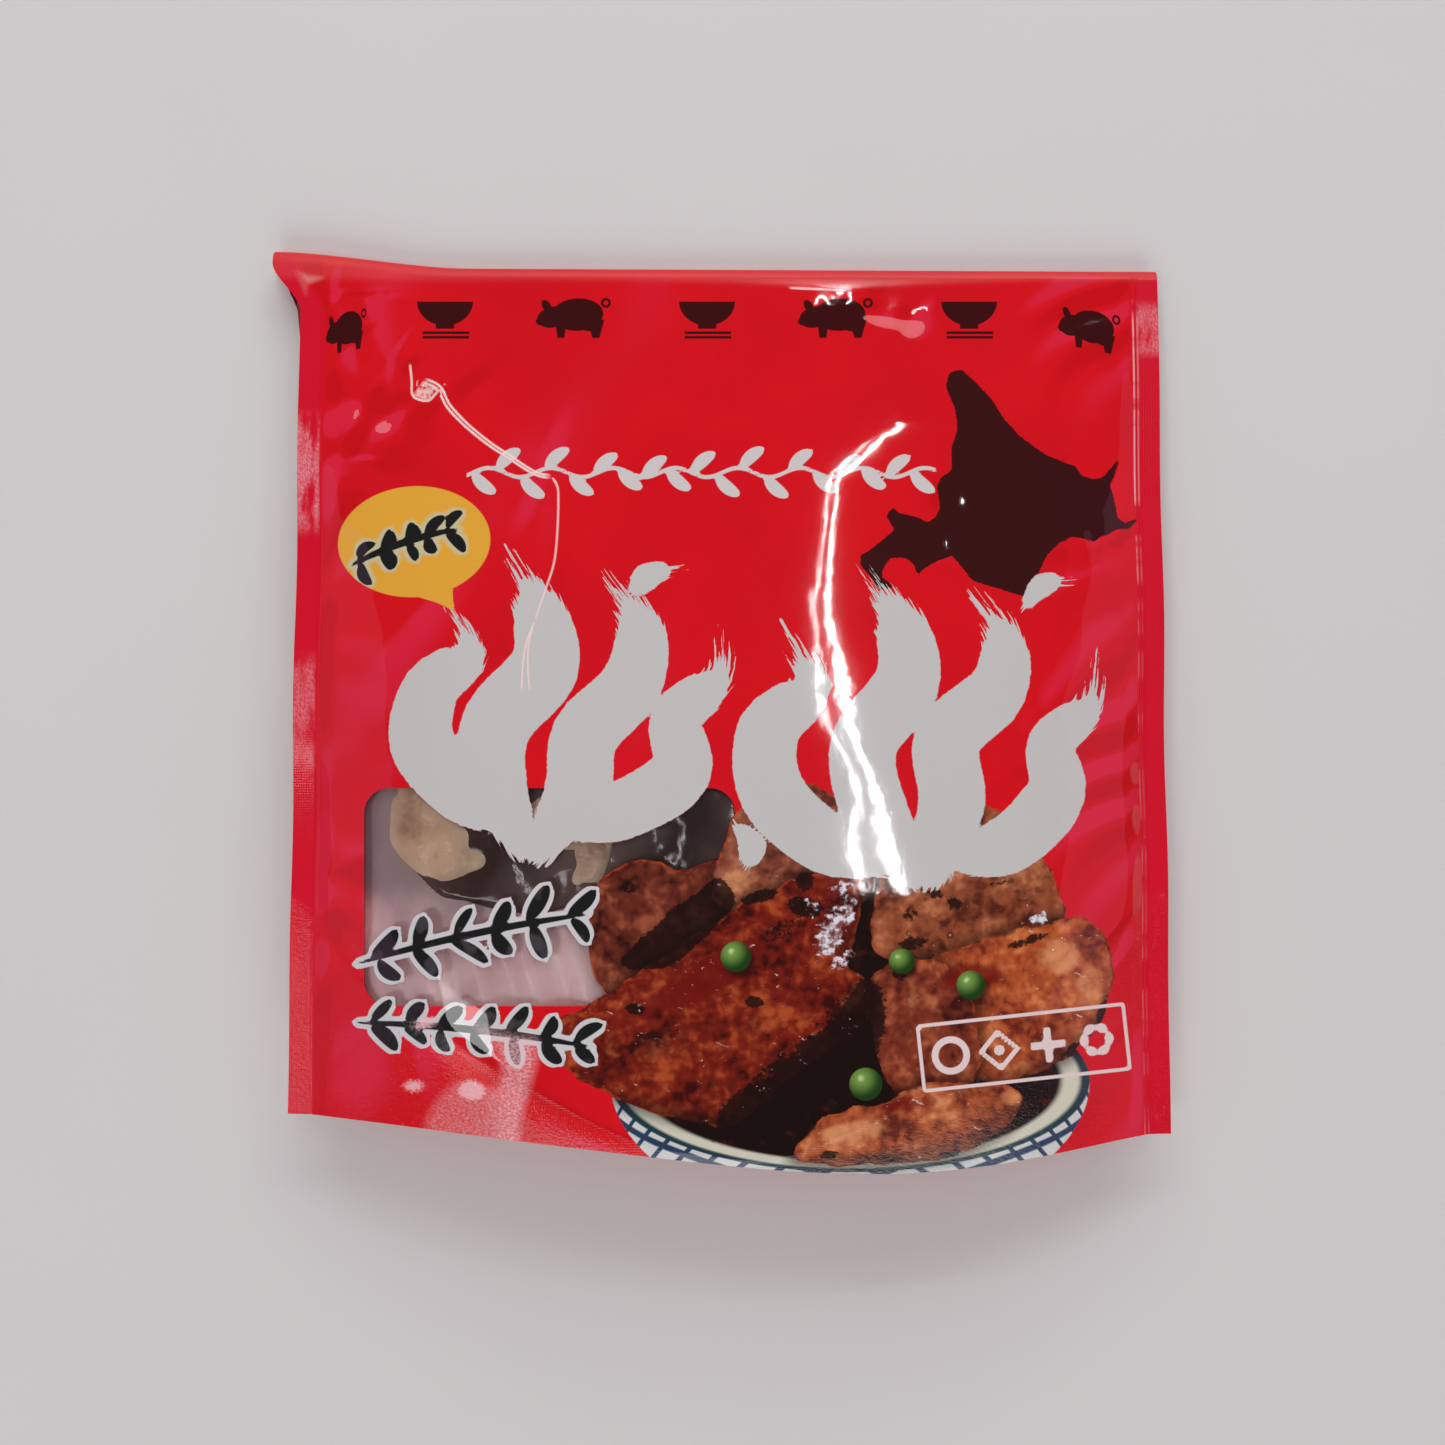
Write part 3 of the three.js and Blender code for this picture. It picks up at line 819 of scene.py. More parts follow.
class Field:
    """A socket's value. Operators on it add Math nodes."""

    def __init__(self, shade, socket):
        self.shade = shade
        self.socket = socket

    __add__ = __radd__ = operation("ADD")
    __sub__ = operation("SUBTRACT")
    __rsub__ = operation("SUBTRACT", swapped=True)
    __mul__ = __rmul__ = operation("MULTIPLY")
    __truediv__ = operation("DIVIDE")
    __abs__ = operation("ABSOLUTE")
    least = operation("MINIMUM")
    most = operation("MAXIMUM")
    sine = operation("SINE")
    arcsine = operation("ARCSINE")
    root = operation("SQRT")
    wrap = operation("WRAP")

    def __neg__(self):
        return self * -1.0

    def above(self, low, high):
        """0 below low, 1 above high, smooth between."""
        return self.shade.node(
            "ShaderNodeMapRange",
            {"interpolation_type": "SMOOTHSTEP"},
            {"Value": self, "From Min": low, "From Max": high},
        )

    def cut(self, soft=0.12):
        """1 inside a printed field and 0 outside it, with an edge as soft as ink."""
        return self.above(-soft, soft)


class Shade:
    """A material and its nodes."""

    def __init__(self, name):
        self.material = bpy.data.materials.new(name)
        self.material.use_nodes = True
        self.tree = self.material.node_tree
        self.tree.nodes.clear()
        self.split = {}

    def node(self, kind, settings=None, sockets=None, out=0):
        """Adds a node: its settings, then the values or links of its sockets. Gives one output."""
        node = self.tree.nodes.new(kind)
        for key, value in (settings or {}).items():
            setattr(node, key, value)
        for key, value in (sockets or {}).items():
            if isinstance(value, Field):
                self.tree.links.new(value.socket, node.inputs[key])
            else:
                node.inputs[key].default_value = value
        return Field(self, node.outputs[out])

    def mix(self, factor, a, b):
        """Colour a where factor is 0 and b where it is 1."""
        a, b = (c if isinstance(c, Field) else (*c, 1) for c in (a, b))
        return self.node("ShaderNodeMix", {"data_type": "RGBA"}, {0: factor, 6: a, 7: b}, out=2)

    def over(self, colour, *layers):
        """A colour under layers, the lowest first, each of which is how much shows and its colour."""
        for factor, layer in layers:
            colour = self.mix(factor, colour, layer)
        return colour

    def scale(self, colour, amount):
        """A colour times a number, by Vector Math."""
        return self.node("ShaderNodeVectorMath", {"operation": "SCALE"}, {0: colour, 3: amount})

    def shift(self, where, by):
        """A place moved by a vector."""
        return self.node("ShaderNodeVectorMath", {"operation": "ADD"}, {0: where, 1: by})

    def parts(self, attribute):
        """The three numbers of a vector attribute."""
        if attribute not in self.split:
            vector = self.node("ShaderNodeAttribute", {"attribute_name": attribute}, out=1)
            outputs = self.node("ShaderNodeSeparateXYZ", {}, {0: vector}).socket.node.outputs
            self.split[attribute] = [Field(self, output) for output in outputs]
        return self.split[attribute]

    def place(self):
        """The place on the object, in metres."""
        return self.node("ShaderNodeTexCoord", out=3)

    def point(self, x, y, z=0.0):
        return self.node("ShaderNodeCombineXYZ", {}, {0: x, 1: y, 2: z})

    def noise(self, where, scale, detail=2.0, rough=0.5):
        sockets = {"Vector": where, "Scale": scale, "Detail": detail, "Roughness": rough}
        return self.node("ShaderNodeTexNoise", {}, sockets)

    def cells(self, where, scale):
        return self.node("ShaderNodeTexVoronoi", {}, {"Vector": where, "Scale": scale})

    def bump(self, height, distance=MM):
        """A normal from a height; the distance is what a height of 1 stands for."""
        return self.node("ShaderNodeBump", {}, {"Strength": 1.0, "Distance": distance, "Height": height})

    def surface(self, colour, rough, more):
        """A Principled surface, with more of its sockets by their names."""
        sockets = {"Base Color": colour, "Roughness": rough, **more}
        return self.node("ShaderNodeBsdfPrincipled", {}, sockets)

    def blend(self, factor, a, b):
        """Surface a where factor is 0 and b where it is 1."""
        return self.node("ShaderNodeMixShader", {}, {0: factor, 1: a, 2: b})

    def finish(self, shader):
        out = self.tree.nodes.new("ShaderNodeOutputMaterial")
        self.tree.links.new(shader.socket, out.inputs["Surface"])
        return self.material


def ink(red, green, blue, light=0.8):
    """The linear colour of a print that shows as these numbers, 0 to 255, under the studio light."""
    c = np.array([red, green, blue]) / 255
    return tuple((np.where(c <= 0.04045, c / 12.92, ((c + 0.055) / 1.055) ** 2.4) / light).tolist())


def dim_ink(red, green, blue):
    """The same behind the window, where light is scarcer."""
    return ink(red, green, blue, 0.5)


MAROON = ink(58, 8, 11)
ISLAND_BROWN = ink(56, 13, 14)
WHITE = ink(196, 194, 192)
YELLOW = ink(224, 165, 56)
BLACK = ink(26, 26, 26)


# The printed film

def pictograms(shade):
    """Pigs and bowls by turns along the row, from a few ovals and bars, as one field."""
    u, v, _ = shade.parts("icon")
    pig_u = (u - 27.1).wrap(ICON_PERIOD / 2, -ICON_PERIOD / 2)
    bowl_u = (u + 3.7).wrap(ICON_PERIOD / 2, -ICON_PERIOD / 2)

    def blob(centre, radii, turn=0.0):
        c, s = math.cos(math.radians(turn)), math.sin(math.radians(turn))
        a = (pig_u * c + v * s - (centre[0] * c + centre[1] * s)) / radii[0]
        b = (v * c - pig_u * s - (centre[1] * c - centre[0] * s)) / radii[1]
        return (1 - (a * a + b * b).root()) * min(radii)

    def bar(a, b, width, height, bottom, taper=0.0):
        """An upright bar that narrows downward."""
        half = width / 2 + (b - bottom) * taper
        return (half - abs(a)).least(b - bottom).least(bottom + height - b)

    pig = blob((1.0, 0.6), (6.2, 3.9), 3)
    for part in (
        blob((-5.0, 0.0), (3.7, 2.5), 14),
        blob((-7.9, -1.0), (1.1, 1.0)),
        blob((-6.4, 2.6), (1.0, 1.7), 32),
        bar(pig_u + 3.0, v, 1.7, 4.0, -5.0, 0.12),
        bar(pig_u - 5.4, v, 1.7, 4.4, -5.0, 0.28),
        blob((3.8, -1.6), (2.6, 1.8)),
        0.3 - abs(blob((7.8, 3.4), (0.9, 0.9))),
    ):
        pig = pig.most(part)
    round_bowl = 6.7 - (bowl_u * bowl_u + (v - 3.7) * (v - 3.7) * 1.35).root()
    bowl = round_bowl.least(3.7 - v).least(v + 2.0)
    bowl = bowl.most(bar(bowl_u, v, 4.4, 2.2, -2.8, 0.0))
    for level in (-3.75, -4.85):
        bowl = bowl.most((5.6 - abs(bowl_u - 0.2)).least(0.32 - abs(v - level)))
    return pig.most(bowl)


def net_pattern(u, v):
    """Crossing curved blue lines on the bowl's side, a traditional net."""
    across = u - BOWL[0]
    round_the_bowl = (across / 60.0).arcsine() * 13.0
    wave = (v + 0.004 * across * across) * 0.42
    one, other = abs((round_the_bowl + wave).sine()), abs((round_the_bowl - wave).sine())
    return 1 - one.least(other).above(0.24, 0.44)


def meat(shade, where, seed, dark, middle, pale):
    """Glazed grilled meat: three tones by broad blotches and soft small ones, bent patches with
    darker lines between them, and charred specks."""
    moved = shade.shift(where, (seed * 31.7, seed * 17.3, 0))
    broad, tight = shade.noise(moved, 0.085, 3.0), shade.noise(moved, 0.34, 3.0)
    bend = shade.node("ShaderNodeTexNoise", {}, {"Vector": moved, "Scale": 0.2, "Detail": 1.0}, out=1)
    patch = 1 - shade.cells(shade.shift(moved, shade.scale(bend, 12.0)), 0.24).above(0.1, 0.85)
    tone = broad * 0.62 + tight * 0.28 + patch * 0.10
    specks = shade.noise(moved, 0.9).above(0.68, 0.76) * 0.7
    colour = shade.mix(tone.above(0.34, 0.52), dark, middle)
    return shade.over(colour, (tone.above(0.49, 0.68), pale), (specks, ink(40, 12, 8)))


# The dark, middle and pale tone of each slice, in the order of SLICES
SLICE_TONES = [
    (ink(44, 12, 9), ink(104, 42, 28), ink(156, 80, 56)),
    (ink(90, 38, 28), ink(140, 76, 54), ink(180, 116, 84)),
    (ink(84, 32, 20), ink(144, 74, 46), ink(190, 116, 78)),
    (ink(100, 32, 18), ink(174, 80, 42), ink(218, 130, 78)),
    (ink(56, 16, 12), ink(124, 50, 32), ink(178, 96, 62)),
    (ink(98, 34, 20), ink(170, 82, 46), ink(214, 136, 90)),
    (ink(54, 8, 6), ink(116, 27, 14), ink(172, 74, 36)),
]


def china_bowl(shade, base, u, v, where):
    """The bowl and the sauce in it over a base colour, and how much of it shows."""
    rim, back_rim, body = shade.parts("bowl")
    hollow = shade.parts("pile")[1].most(rim - 2.6).cut(0.4)
    china = shade.mix(net_pattern(u, v), ink(206, 208, 205), ink(40, 62, 92))
    lip = shade.mix((rim - 0.9).cut(0.3), ink(30, 60, 70), ink(208, 206, 186))
    sauce = shade.mix(shade.noise(where, 0.3, 3.0).above(0.5, 0.75), ink(24, 9, 7), ink(74, 22, 12))
    colour = shade.over(
        base, (body.cut(), china), (rim.cut(), lip), (back_rim.cut(), ink(176, 186, 160)), (hollow, sauce)
    )
    return colour, body.cut().most(rim.cut()).most(back_rim.cut()).most(hollow)


def serving_picture(shade, base, u, v, where):
    """The bowl with its pile of slices over a base colour, and how much of it shows."""
    colour, picture = china_bowl(shade, base, u, v, where)
    nearest, gloss, _ = shade.parts("slices_c")
    slices = [*shade.parts("slices_a"), *shade.parts("slices_b"), nearest]
    _, top, back, right, _, low, _ = slices
    dark, red, pale = shade.parts("stain")
    lit = shade.parts("pile")[0].above(0.08, 0.5)

    ragged = (shade.noise(where, 0.9) - 0.5) * 0.7 + (shade.noise(where, 0.16, 1.0) - 0.5) * 2.6
    crust = shade.mix(shade.noise(where, 0.3).above(0.4, 0.6), ink(176, 74, 34), ink(66, 20, 12))
    for k, (field, tones) in enumerate(zip(slices, SLICE_TONES)):
        edge = field + ragged
        shadow = field.above(-4.0, 0.5) * 0.72 * picture
        flesh = shade.over(
            meat(shade, where, k + 1, *tones),
            ((1 - edge.above(0.1, 0.9)) * 0.7, crust),
            ((1 - lit) * 0.6, ink(40, 11, 7)),
        )
        colour = shade.over(colour, (shadow, ink(22, 8, 6)), (edge.cut(), flesh))
        picture = picture.most(edge.cut())

    on_meat = nearest.most(back).most(low).most(top).most(right).above(0.2, 1.2)
    grain = shade.noise(where, 0.28, 3.0) - 0.5
    coarse = shade.noise(where, 1.0, 3.0, 0.6) - 0.5
    orange = shade.mix(nearest.cut(), ink(220, 150, 102), ink(198, 104, 56))
    bubble = shade.cells(where, 0.34)
    foam = back.above(2, 6) * shade.noise(where, 0.12).above(0.44, 0.58)
    swirl = shade.noise(where, 0.16)
    glaze = shade.noise(shade.point(u + swirl * 9, v * 1.7 - swirl * 7), 0.42, 4.0, 0.68)
    wet = glaze.above(0.63, 0.69) * shade.noise(where, 0.14).above(0.46, 0.6)
    glint = shade.noise(where, 0.5, 4.0, 0.6)
    sheen = (gloss + (swirl - 0.5) * 1.2 + (glint - 0.5) * 2.6).above(0.45, 0.95) * gloss.above(0.05, 0.3)
    silver = shade.mix(glint.above(0.45, 0.62), ink(128, 88, 84), ink(230, 230, 238))
    radius, bright, under = shade.parts("pea")
    green = shade.mix(bright.above(0.1, 1.2), ink(116, 154, 70), ink(26, 60, 18))
    green = shade.mix(1 - bright.above(0.05, 0.3), green, ink(190, 214, 150))
    colour = shade.over(
        colour,
        ((pale + grain * 1.4).above(0.32, 1.05) * on_meat * 0.75, orange),
        ((red + grain * 1.2).above(0.25, 0.85) * on_meat * 0.85, ink(112, 17, 10)),
        ((1 - bubble.above(0.22, 0.38)) * foam * 0.75, ink(78, 32, 20)),
        ((1 - bubble.above(0.05, 0.13)) * foam * 0.6, ink(226, 192, 170)),
        ((dark + grain * 1.1 + coarse * 1.3).above(0.45, 0.75) * picture * 0.92, ink(24, 9, 7)),
        (wet * on_meat * 0.8, ink(236, 214, 200)),
        (sheen * 0.9, silver),
        ((1 - under.above(0.7, 1.35)) * 0.8, ink(22, 7, 4)),
        (1 - radius.above(0.95, 1.03), green),
    )
    return colour, picture


def red_print(shade, where, front):
    """The red, painted lighter and darker along the folds as their light and shade, the pictograms and
    the map shape.
    """
    mottle = shade.noise(where, 0.03)
    tone = shade.parts("painted_light")[2]
    coast = shade.parts("marks")[0] + (shade.noise(where, 1.1) - 0.5) * 0.6
    return shade.over(
        shade.mix(mottle.above(0.35, 0.65), ink(214, 14, 26), ink(208, 13, 28)),
        # painted light and shade of the folds
        (tone.above(0.1, 0.8) * 0.9, ink(216, 34, 62)),
        ((-tone).above(0.1, 0.8) * 0.8, ink(196, 8, 20)),
        (pictograms(shade).cut() * front, MAROON),
        (coast.cut(), ISLAND_BROWN),
    )


def overprint(shade, where):
    """Layers that are printed over the red as over the picture: the white brush strokes, the sprays'
    rim, the sprays, and the tilted frame with its ornaments."""
    white, dry, _ = shade.parts("white")
    along, across, _ = shade.parts("way")
    spray, stamp, ornament = shade.parts("dark")
    ragged = (shade.noise(where, 0.8, 3.0) - 0.5) * 1.5
    streaks = shade.noise(shade.point(across * 1.5, along * 0.07), 1.0, 3.0, 0.6)
    drag = streaks.above(0.36, 0.60) * dry * 5.5
    dull = shade.noise(where, 0.12).above(0.56, 0.66)
    return [
        ((white + ragged * (0.35 + dry) - drag).cut(0.15), WHITE),
        ((spray + 1.15).cut(), ink(202, 202, 204)),
        (spray.cut(), shade.mix(dull * 0.22, BLACK, ink(120, 112, 116))),
        ((0.42 - abs(stamp)).cut().most(ornament.cut()), ink(226, 206, 204)),
    ]


def corner_glare(shade, u, v, front):
    """How much painted reflection the film takes: a cloudy, crumpled glare in the flattened corner,
    with a few painted highlight spots.
    """
    painted_light, spots, _ = shade.parts("painted_light")
    crumple = shade.noise(shade.point(u + v * 0.35, v * 1.3), 1.3, 4.0, 0.65)
    cloudy = painted_light.above(-1.2, 2.4) * (0.35 + 0.65 * crumple.above(0.42, 0.6))
    cloudy = cloudy * (0.5 + u.above(-58, -50) * 0.5)
    return (cloudy * 0.72).most((spots + (crumple - 0.5) * 3.4).above(-0.5, 0.9) * 0.8) * front


def seal_tone_and_highlights(shade, u, v, edge, beads, front):
    """Layers along the side seals: a painted highlight on the bead lines, painted reflections in
    patches of the knurled seal, and the bluer tone of the doubled film, with the same painted
    reflections."""
    right = u.above(0, 1)
    # Painted highlight along the right seal's bead lines, broken, and fainter low down
    bead_highlight = shade.noise(shade.point(v * 0.5, u * 0.05), 0.3, 3.0).above(0.42, 0.6) * right
    bead_highlight = bead_highlight * (0.25 + v.above(30, 44) * 0.75)
    # Painted reflections in patches on the seals, streaked and patchy
    upper_left = v.above(44, 50) * (1 - v.above(70, 76))
    lower_left = v.above(-13, -8) * (1 - v.above(12, 18)) * 0.6
    upper_right = right * v.above(87, 90) * (1 - v.above(98, 102)) * 0.7
    highlight_patches = (1 - right) * upper_left.most(lower_left) + upper_right
    threads = shade.noise(shade.point(u * 1.6 + v * 0.6, v * 0.5 - u * 0.4), 1.7, 4.0, 0.7).above(0.4, 0.6)
    patchy = shade.noise(shade.point(u * 1.2, v * 0.35), 0.3).above(0.3, 0.58)
    seal_highlight = (0.25 + threads * 0.75) * patchy * highlight_patches * (1 - edge.above(4.8, 5.6)) * front * 0.65
    doubled = (1 - edge.above(5.0, 6.5)) * front * 0.6
    return [
        (beads * bead_highlight * 0.7, ink(244, 190, 192)),
        (seal_highlight, ink(236, 170, 178)),
        (doubled, shade.mix(seal_highlight, ink(206, 8, 46), ink(236, 170, 184))),
    ]


def film_material():
    """Red film with its print, worked out from the fields, clear where the window is."""
    shade = Shade("printed_film")
    u, v, side = shade.parts("spot")
    where, front = shade.point(u, v), side.above(0.4, 0.6)
    edge, arc, panel = shade.parts("seal")
    _, balloon, twig = shade.parts("marks")

    red = red_print(shade, where, front)
    pictured, picture = serving_picture(shade, red, u, v, where)
    picture = picture * front
    printed = overprint(shade, where)
    glare = corner_glare(shade, u, v, front)
    # Painted reflection: the pale glare in the flattened corner, over all print
    painted_light = (glare, ink(240, 188, 192))

    # The creases' pale double lines and the diamond where two meet are painted highlights.
    across, crease, gap = shade.parts("crease")
    line = (1 - abs(abs(across) - gap).above(0.12, 0.42)) * crease
    diamond = shade.parts("slices_c")[2].cut(0.3) * shade.noise(where, 0.9, 3.0).above(0.3, 0.6) * 0.8
    beads = (1 - abs(edge - 5.2).above(0.1, 0.35)).most(1 - abs(edge - 6.2).above(0.1, 0.35)) * front
    ruled = abs((v * 0.9).sine()).above(0.9, 0.97) * (panel - 5.0).cut() * 0.5
    colour = shade.over(
        red,
        *printed,
        (shade.parts("white")[2].cut(), ink(206, 200, 198)),
        (balloon.cut(), YELLOW),
        ((twig + 0.9).cut(0.6) * balloon.cut(), ink(196, 190, 150)),
        (twig.cut(), BLACK),
        # painted highlight on the ear's pale triangle
        (shade.parts("pile")[2].cut(0.8) * 0.55, ink(226, 150, 146)),
        painted_light,
        # painted highlight: the creases' double lines and the diamond
        (line.most(diamond) * 0.9, ink(246, 218, 212)),
        *seal_tone_and_highlights(shade, u, v, edge, beads, front),
        (panel.cut() * (1 - front), shade.mix(ruled, ink(206, 204, 200), ink(150, 146, 144))),
    )

    knurl = ((u + v) * 5.2).sine() * ((u - v) * 5.2).sine()
    pressed = (1 - edge.above(5.0, 5.4)).most((1 - abs(arc).above(2.6, 3.2)) * front)
    crinkle = shade.noise(shade.point(u + v * 0.4, v * 1.5), 0.8, 3.0, 0.6)
    height = pressed * knurl * 0.012 + beads * (0.02 + u.above(0, 1) * 0.08)
    height = height + shade.noise(where, 0.16, 3.0) * 0.012 + line * 0.12
    normal = shade.bump(height + (1 - arc.above(-3, 3)) * front * crinkle * 0.20)
    rough = 0.035 + (pressed * 0.14).most(v.above(103.5, 109.5) * 0.5)

    plain = shade.surface(colour, rough, {"Normal": normal})
    photo_print = shade.surface(shade.over(pictured, *printed, painted_light), rough, {"Normal": normal})
    clear = shade.node("ShaderNodeBsdfTransparent", {}, {"Color": (0.90, 0.885, 0.89, 1)})
    glossy = {"Color": (1, 1, 1, 1), "Roughness": 0.06, "Normal": normal}
    gloss = shade.node("ShaderNodeBsdfGlossy", {}, glossy)
    pane = shade.blend(shade.node("ShaderNodeFresnel", {}, {"IOR": 1.45, "Normal": normal}), clear, gloss)
    (brushed, _), (rimmed, _) = printed[:2]
    opening = shade.parts("way")[2].cut() * (1 - picture) * (1 - brushed) * (1 - rimmed)
    opening = opening * (1 - glare * 0.7) * front
    return shade.finish(shade.blend(opening, shade.blend(picture, plain, photo_print), pane))


def film_fields(u, v, x, y, inset):
    """What the film's attributes hold: name, what is elsewhere than on the front, and the fields of
    the front."""
    white, dry, along, across = flames(u, v)
    sprays = union(*(ink_spray(u, v, *spray) for spray in SPRAYS))
    slices = [area(u, v, curve(outline, 60, closed=True)) for outline in SLICES.values()]
    stain = stains(u, v)
    glint_spots = union(*(oval(u, v, *spot) for spot in GLINT_SPOTS))
    lower_bowl = oval(u, v, BOWL, (BOWL_RADII[0], BOWL_DEPTH))
    back_rim = 0.9 - np.abs(oval(u, v, *BACK_RIM))
    return [
        ("white", (BLANK, 0, BLANK), (white, dry, vine(u, v))),
        ("way", (0, 0, BLANK), (along, across, box(u, v, *WINDOW))),
        ("marks", BLANK, (
            area(u, v, ISLAND),
            union(oval(u, v, *BALLOON), area(u, v, BALLOON_TAIL)),
            ink_spray(u, v, *TWIG),
        )),
        ("dark", BLANK, (sprays, box(u, v, *STAMP), stamp_ornaments(u, v))),
        ("crease", 0, crease_lines(u, v)),
        # Painted light: the corner's glare, its highlight spots, and the folds' painted light and shade
        ("painted_light", (BLANK, BLANK, 0), (
            area(u, v, curve(GLARE_PATCH, 60, True)),
            glint_spots,
            painted_fold_light(u, v, relief(u, v, x, y, inset)),
        )),
        ("icon", 0, icon_coordinates(u, v)),
        ("slices_a", BLANK, slices[:3]),
        ("slices_b", BLANK, slices[3:6]),
        ("slices_c", (BLANK, 0, BLANK), (slices[6], stain["gloss"], area(u, v, DIAMOND_HIGHLIGHT))),
        ("stain", 0, (stain["dark"], stain["red"], stain["pale"])),
        ("bowl", BLANK, (
            oval(u, v, BOWL, BOWL_RADII),
            np.where(v > BACK_RIM[0][1], back_rim, BLANK),
            np.where(v < BOWL[1], lower_bowl, BLANK),
        )),
        # The picture's pile light, the sauce between the slices, and the ear's painted highlight
        ("pile", (0.5, BLANK, BLANK), (
            pile_light(u, v, slices),
            area(u, v, HOLLOW),
            area(u, v, EAR_HIGHLIGHT),
        )),
        ("pea", 9, pea_distances(u, v)),
    ]


def add_film():
    """The pouch's film with the fields of its print: places on the layout and the side, distances
    from the seals, and what the front holds."""
    points = film_loops()
    piece = tube("pouch_film", points, film_material())
    rows = FRONT_ROWS + 1
    x, y, z = np.moveaxis(points[:, :rows], -1, 0)
    u, v = to_layout(x, y, z)
    s = np.linspace(-1, 1, COLUMNS + 1)[:, None]

    spot = points.copy()
    spot[..., 2] = 0
    spot[:, :rows] = stacked(u, v, 1.0)
    put_attribute(piece, "spot", spot)

    back_start = rows + 2 * ROLL_ROWS + 2 * FLAP_ROWS + 1
    behind = slice(back_start, back_start + BACK_ROWS)
    seal = stacked((1 - np.abs(s)) * HALF_WIDTH, np.full(points.shape[:2], 20.0), BLANK)
    seal[:, :rows, 1] = y - doyen_line(x)
    seal[:, behind, 2] = box(points[:, behind, 0], points[:, behind, 1], *BACK_LABEL)
    put_attribute(piece, "seal", seal)

    for name, elsewhere, fields in film_fields(u, v, x, y, np.broadcast_to(inset_of(s), u.shape)):
        values = np.empty(points.shape)
        values[:] = elsewhere
        values[:, :rows, :len(fields)] = np.stack(fields, axis=-1)
        put_attribute(piece, name, values)

    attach(piece, "root")
    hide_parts("pouch")


# Inside the window

# Slices behind it: middle on the layout, half length and half width, turn in degrees
PORK = [
    ((-69.5, -28.0), (13.0, 8.5), -38.0), ((-68.0, -18.5), (11.0, 8.5), 0.0),
    ((-41.0, -24.5), (14.5, 6.5), -12.0), ((-31.5, -31.0), (4.6, 9.5), -14.0),
]


def window_grid(across, along, columns, rows):
    """A grid over a rectangle of the layout."""
    return np.meshgrid(np.linspace(*across, columns), np.linspace(*along, rows), indexing="ij")


def under_film(u, v):
    """Height of the front film over a place of the layout, found by going to and fro."""
    z = np.full(u.shape, 25.0)
    for _ in range(4):
        x, y = to_plan(u, v, z)
        s = np.clip(x / HALF_WIDTH, -1, 1)
        z = front_z(s, way_up(s, y))
    return z


def lining_material():
    """Pale pinkish inner film, stained mauve-grey towards the sauce above."""
    shade = Shade("inner_lining")
    where = shade.place()
    along = shade.node("ShaderNodeSeparateXYZ", {}, {0: where}, out=1)
    blotch = shade.noise(where, 60.0, 3.0)
    colour = shade.over(
        shade.mix(blotch.above(0.35, 0.7), dim_ink(240, 214, 214), dim_ink(220, 188, 190)),
        ((along + blotch * 0.012).above(-0.047, -0.036), dim_ink(160, 144, 144)),
    )
    normal = shade.bump(shade.noise(where, 220.0), 0.0004)
    return shade.finish(shade.surface(colour, 0.3, {"Normal": normal}))


def raw_pork_material():
    """Marinated slice: tan with browner blotches, pale fat towards its rim, and a wet surface."""
    shade = Shade("marinated_pork")
    where = shade.place()
    out = shade.parts("ring")[1]
    broad, fine = shade.noise(where, 75.0, 4.0, 0.6), shade.noise(where, 260.0, 3.0)
    colour = shade.over(
        shade.mix(broad.above(0.26, 0.54), dim_ink(164, 128, 104), dim_ink(208, 182, 156)),
        (fine.above(0.55, 0.7) * 0.25, dim_ink(150, 108, 86)),
        (out.above(0.6, 0.95) * 0.5, dim_ink(222, 200, 172)),
    )
    normal = shade.bump(broad * 0.6 + fine * 0.4, 0.0012)
    return shade.finish(shade.surface(colour, 0.28, {"Normal": normal}))


def sauce_material():
    """Dark brown sauce with paler clouds, wet."""
    shade = Shade("dark_sauce")
    cloud = shade.noise(shade.place(), 45.0, 3.0)
    colour = shade.mix(cloud.above(0.4, 0.7), dim_ink(66, 46, 44), dim_ink(112, 92, 90))
    return shade.finish(shade.surface(colour, 0.12, {"Normal": shade.bump(cloud, 0.003)}))


def add_lining():
    """The inner film behind the window, with folds in its lower part."""
    u, v = window_grid((-98, 14), (-78, -8), 110, 70)
    lid = under_film(u, v)
    folds = 0.9 * np.sin(0.5 * u + 1.6 * np.sin(0.11 * v)) * smooth(-v, 40, 56)
    level = lid - 3.4 + folds
    return slab("inner_lining", *to_plan(u, v, lid - 3), level, level - 0.5, lining_material())


def add_sauce():
    """The sauce on the lining, which dips out of sight beyond its shore."""
    u, v = window_grid((-80, 10), (-50, -10), 90, 44)
    lid = under_film(u, v)
    shore = 45.5 + 2.2 * np.sin(0.11 * (u + 60)) - 10.0 * smooth(-u, 66, 80)
    beyond = smooth(-v, shore - 3, shore) + smooth(-u, 74, 79)
    level = lid - 2.4 + 0.3 * np.sin(0.3 * u + 0.2 * v) - 2.6 * np.minimum(beyond, 1)
    return slab("dark_sauce", *to_plan(u, v, lid - 2.4), level, level - 0.8, sauce_material())


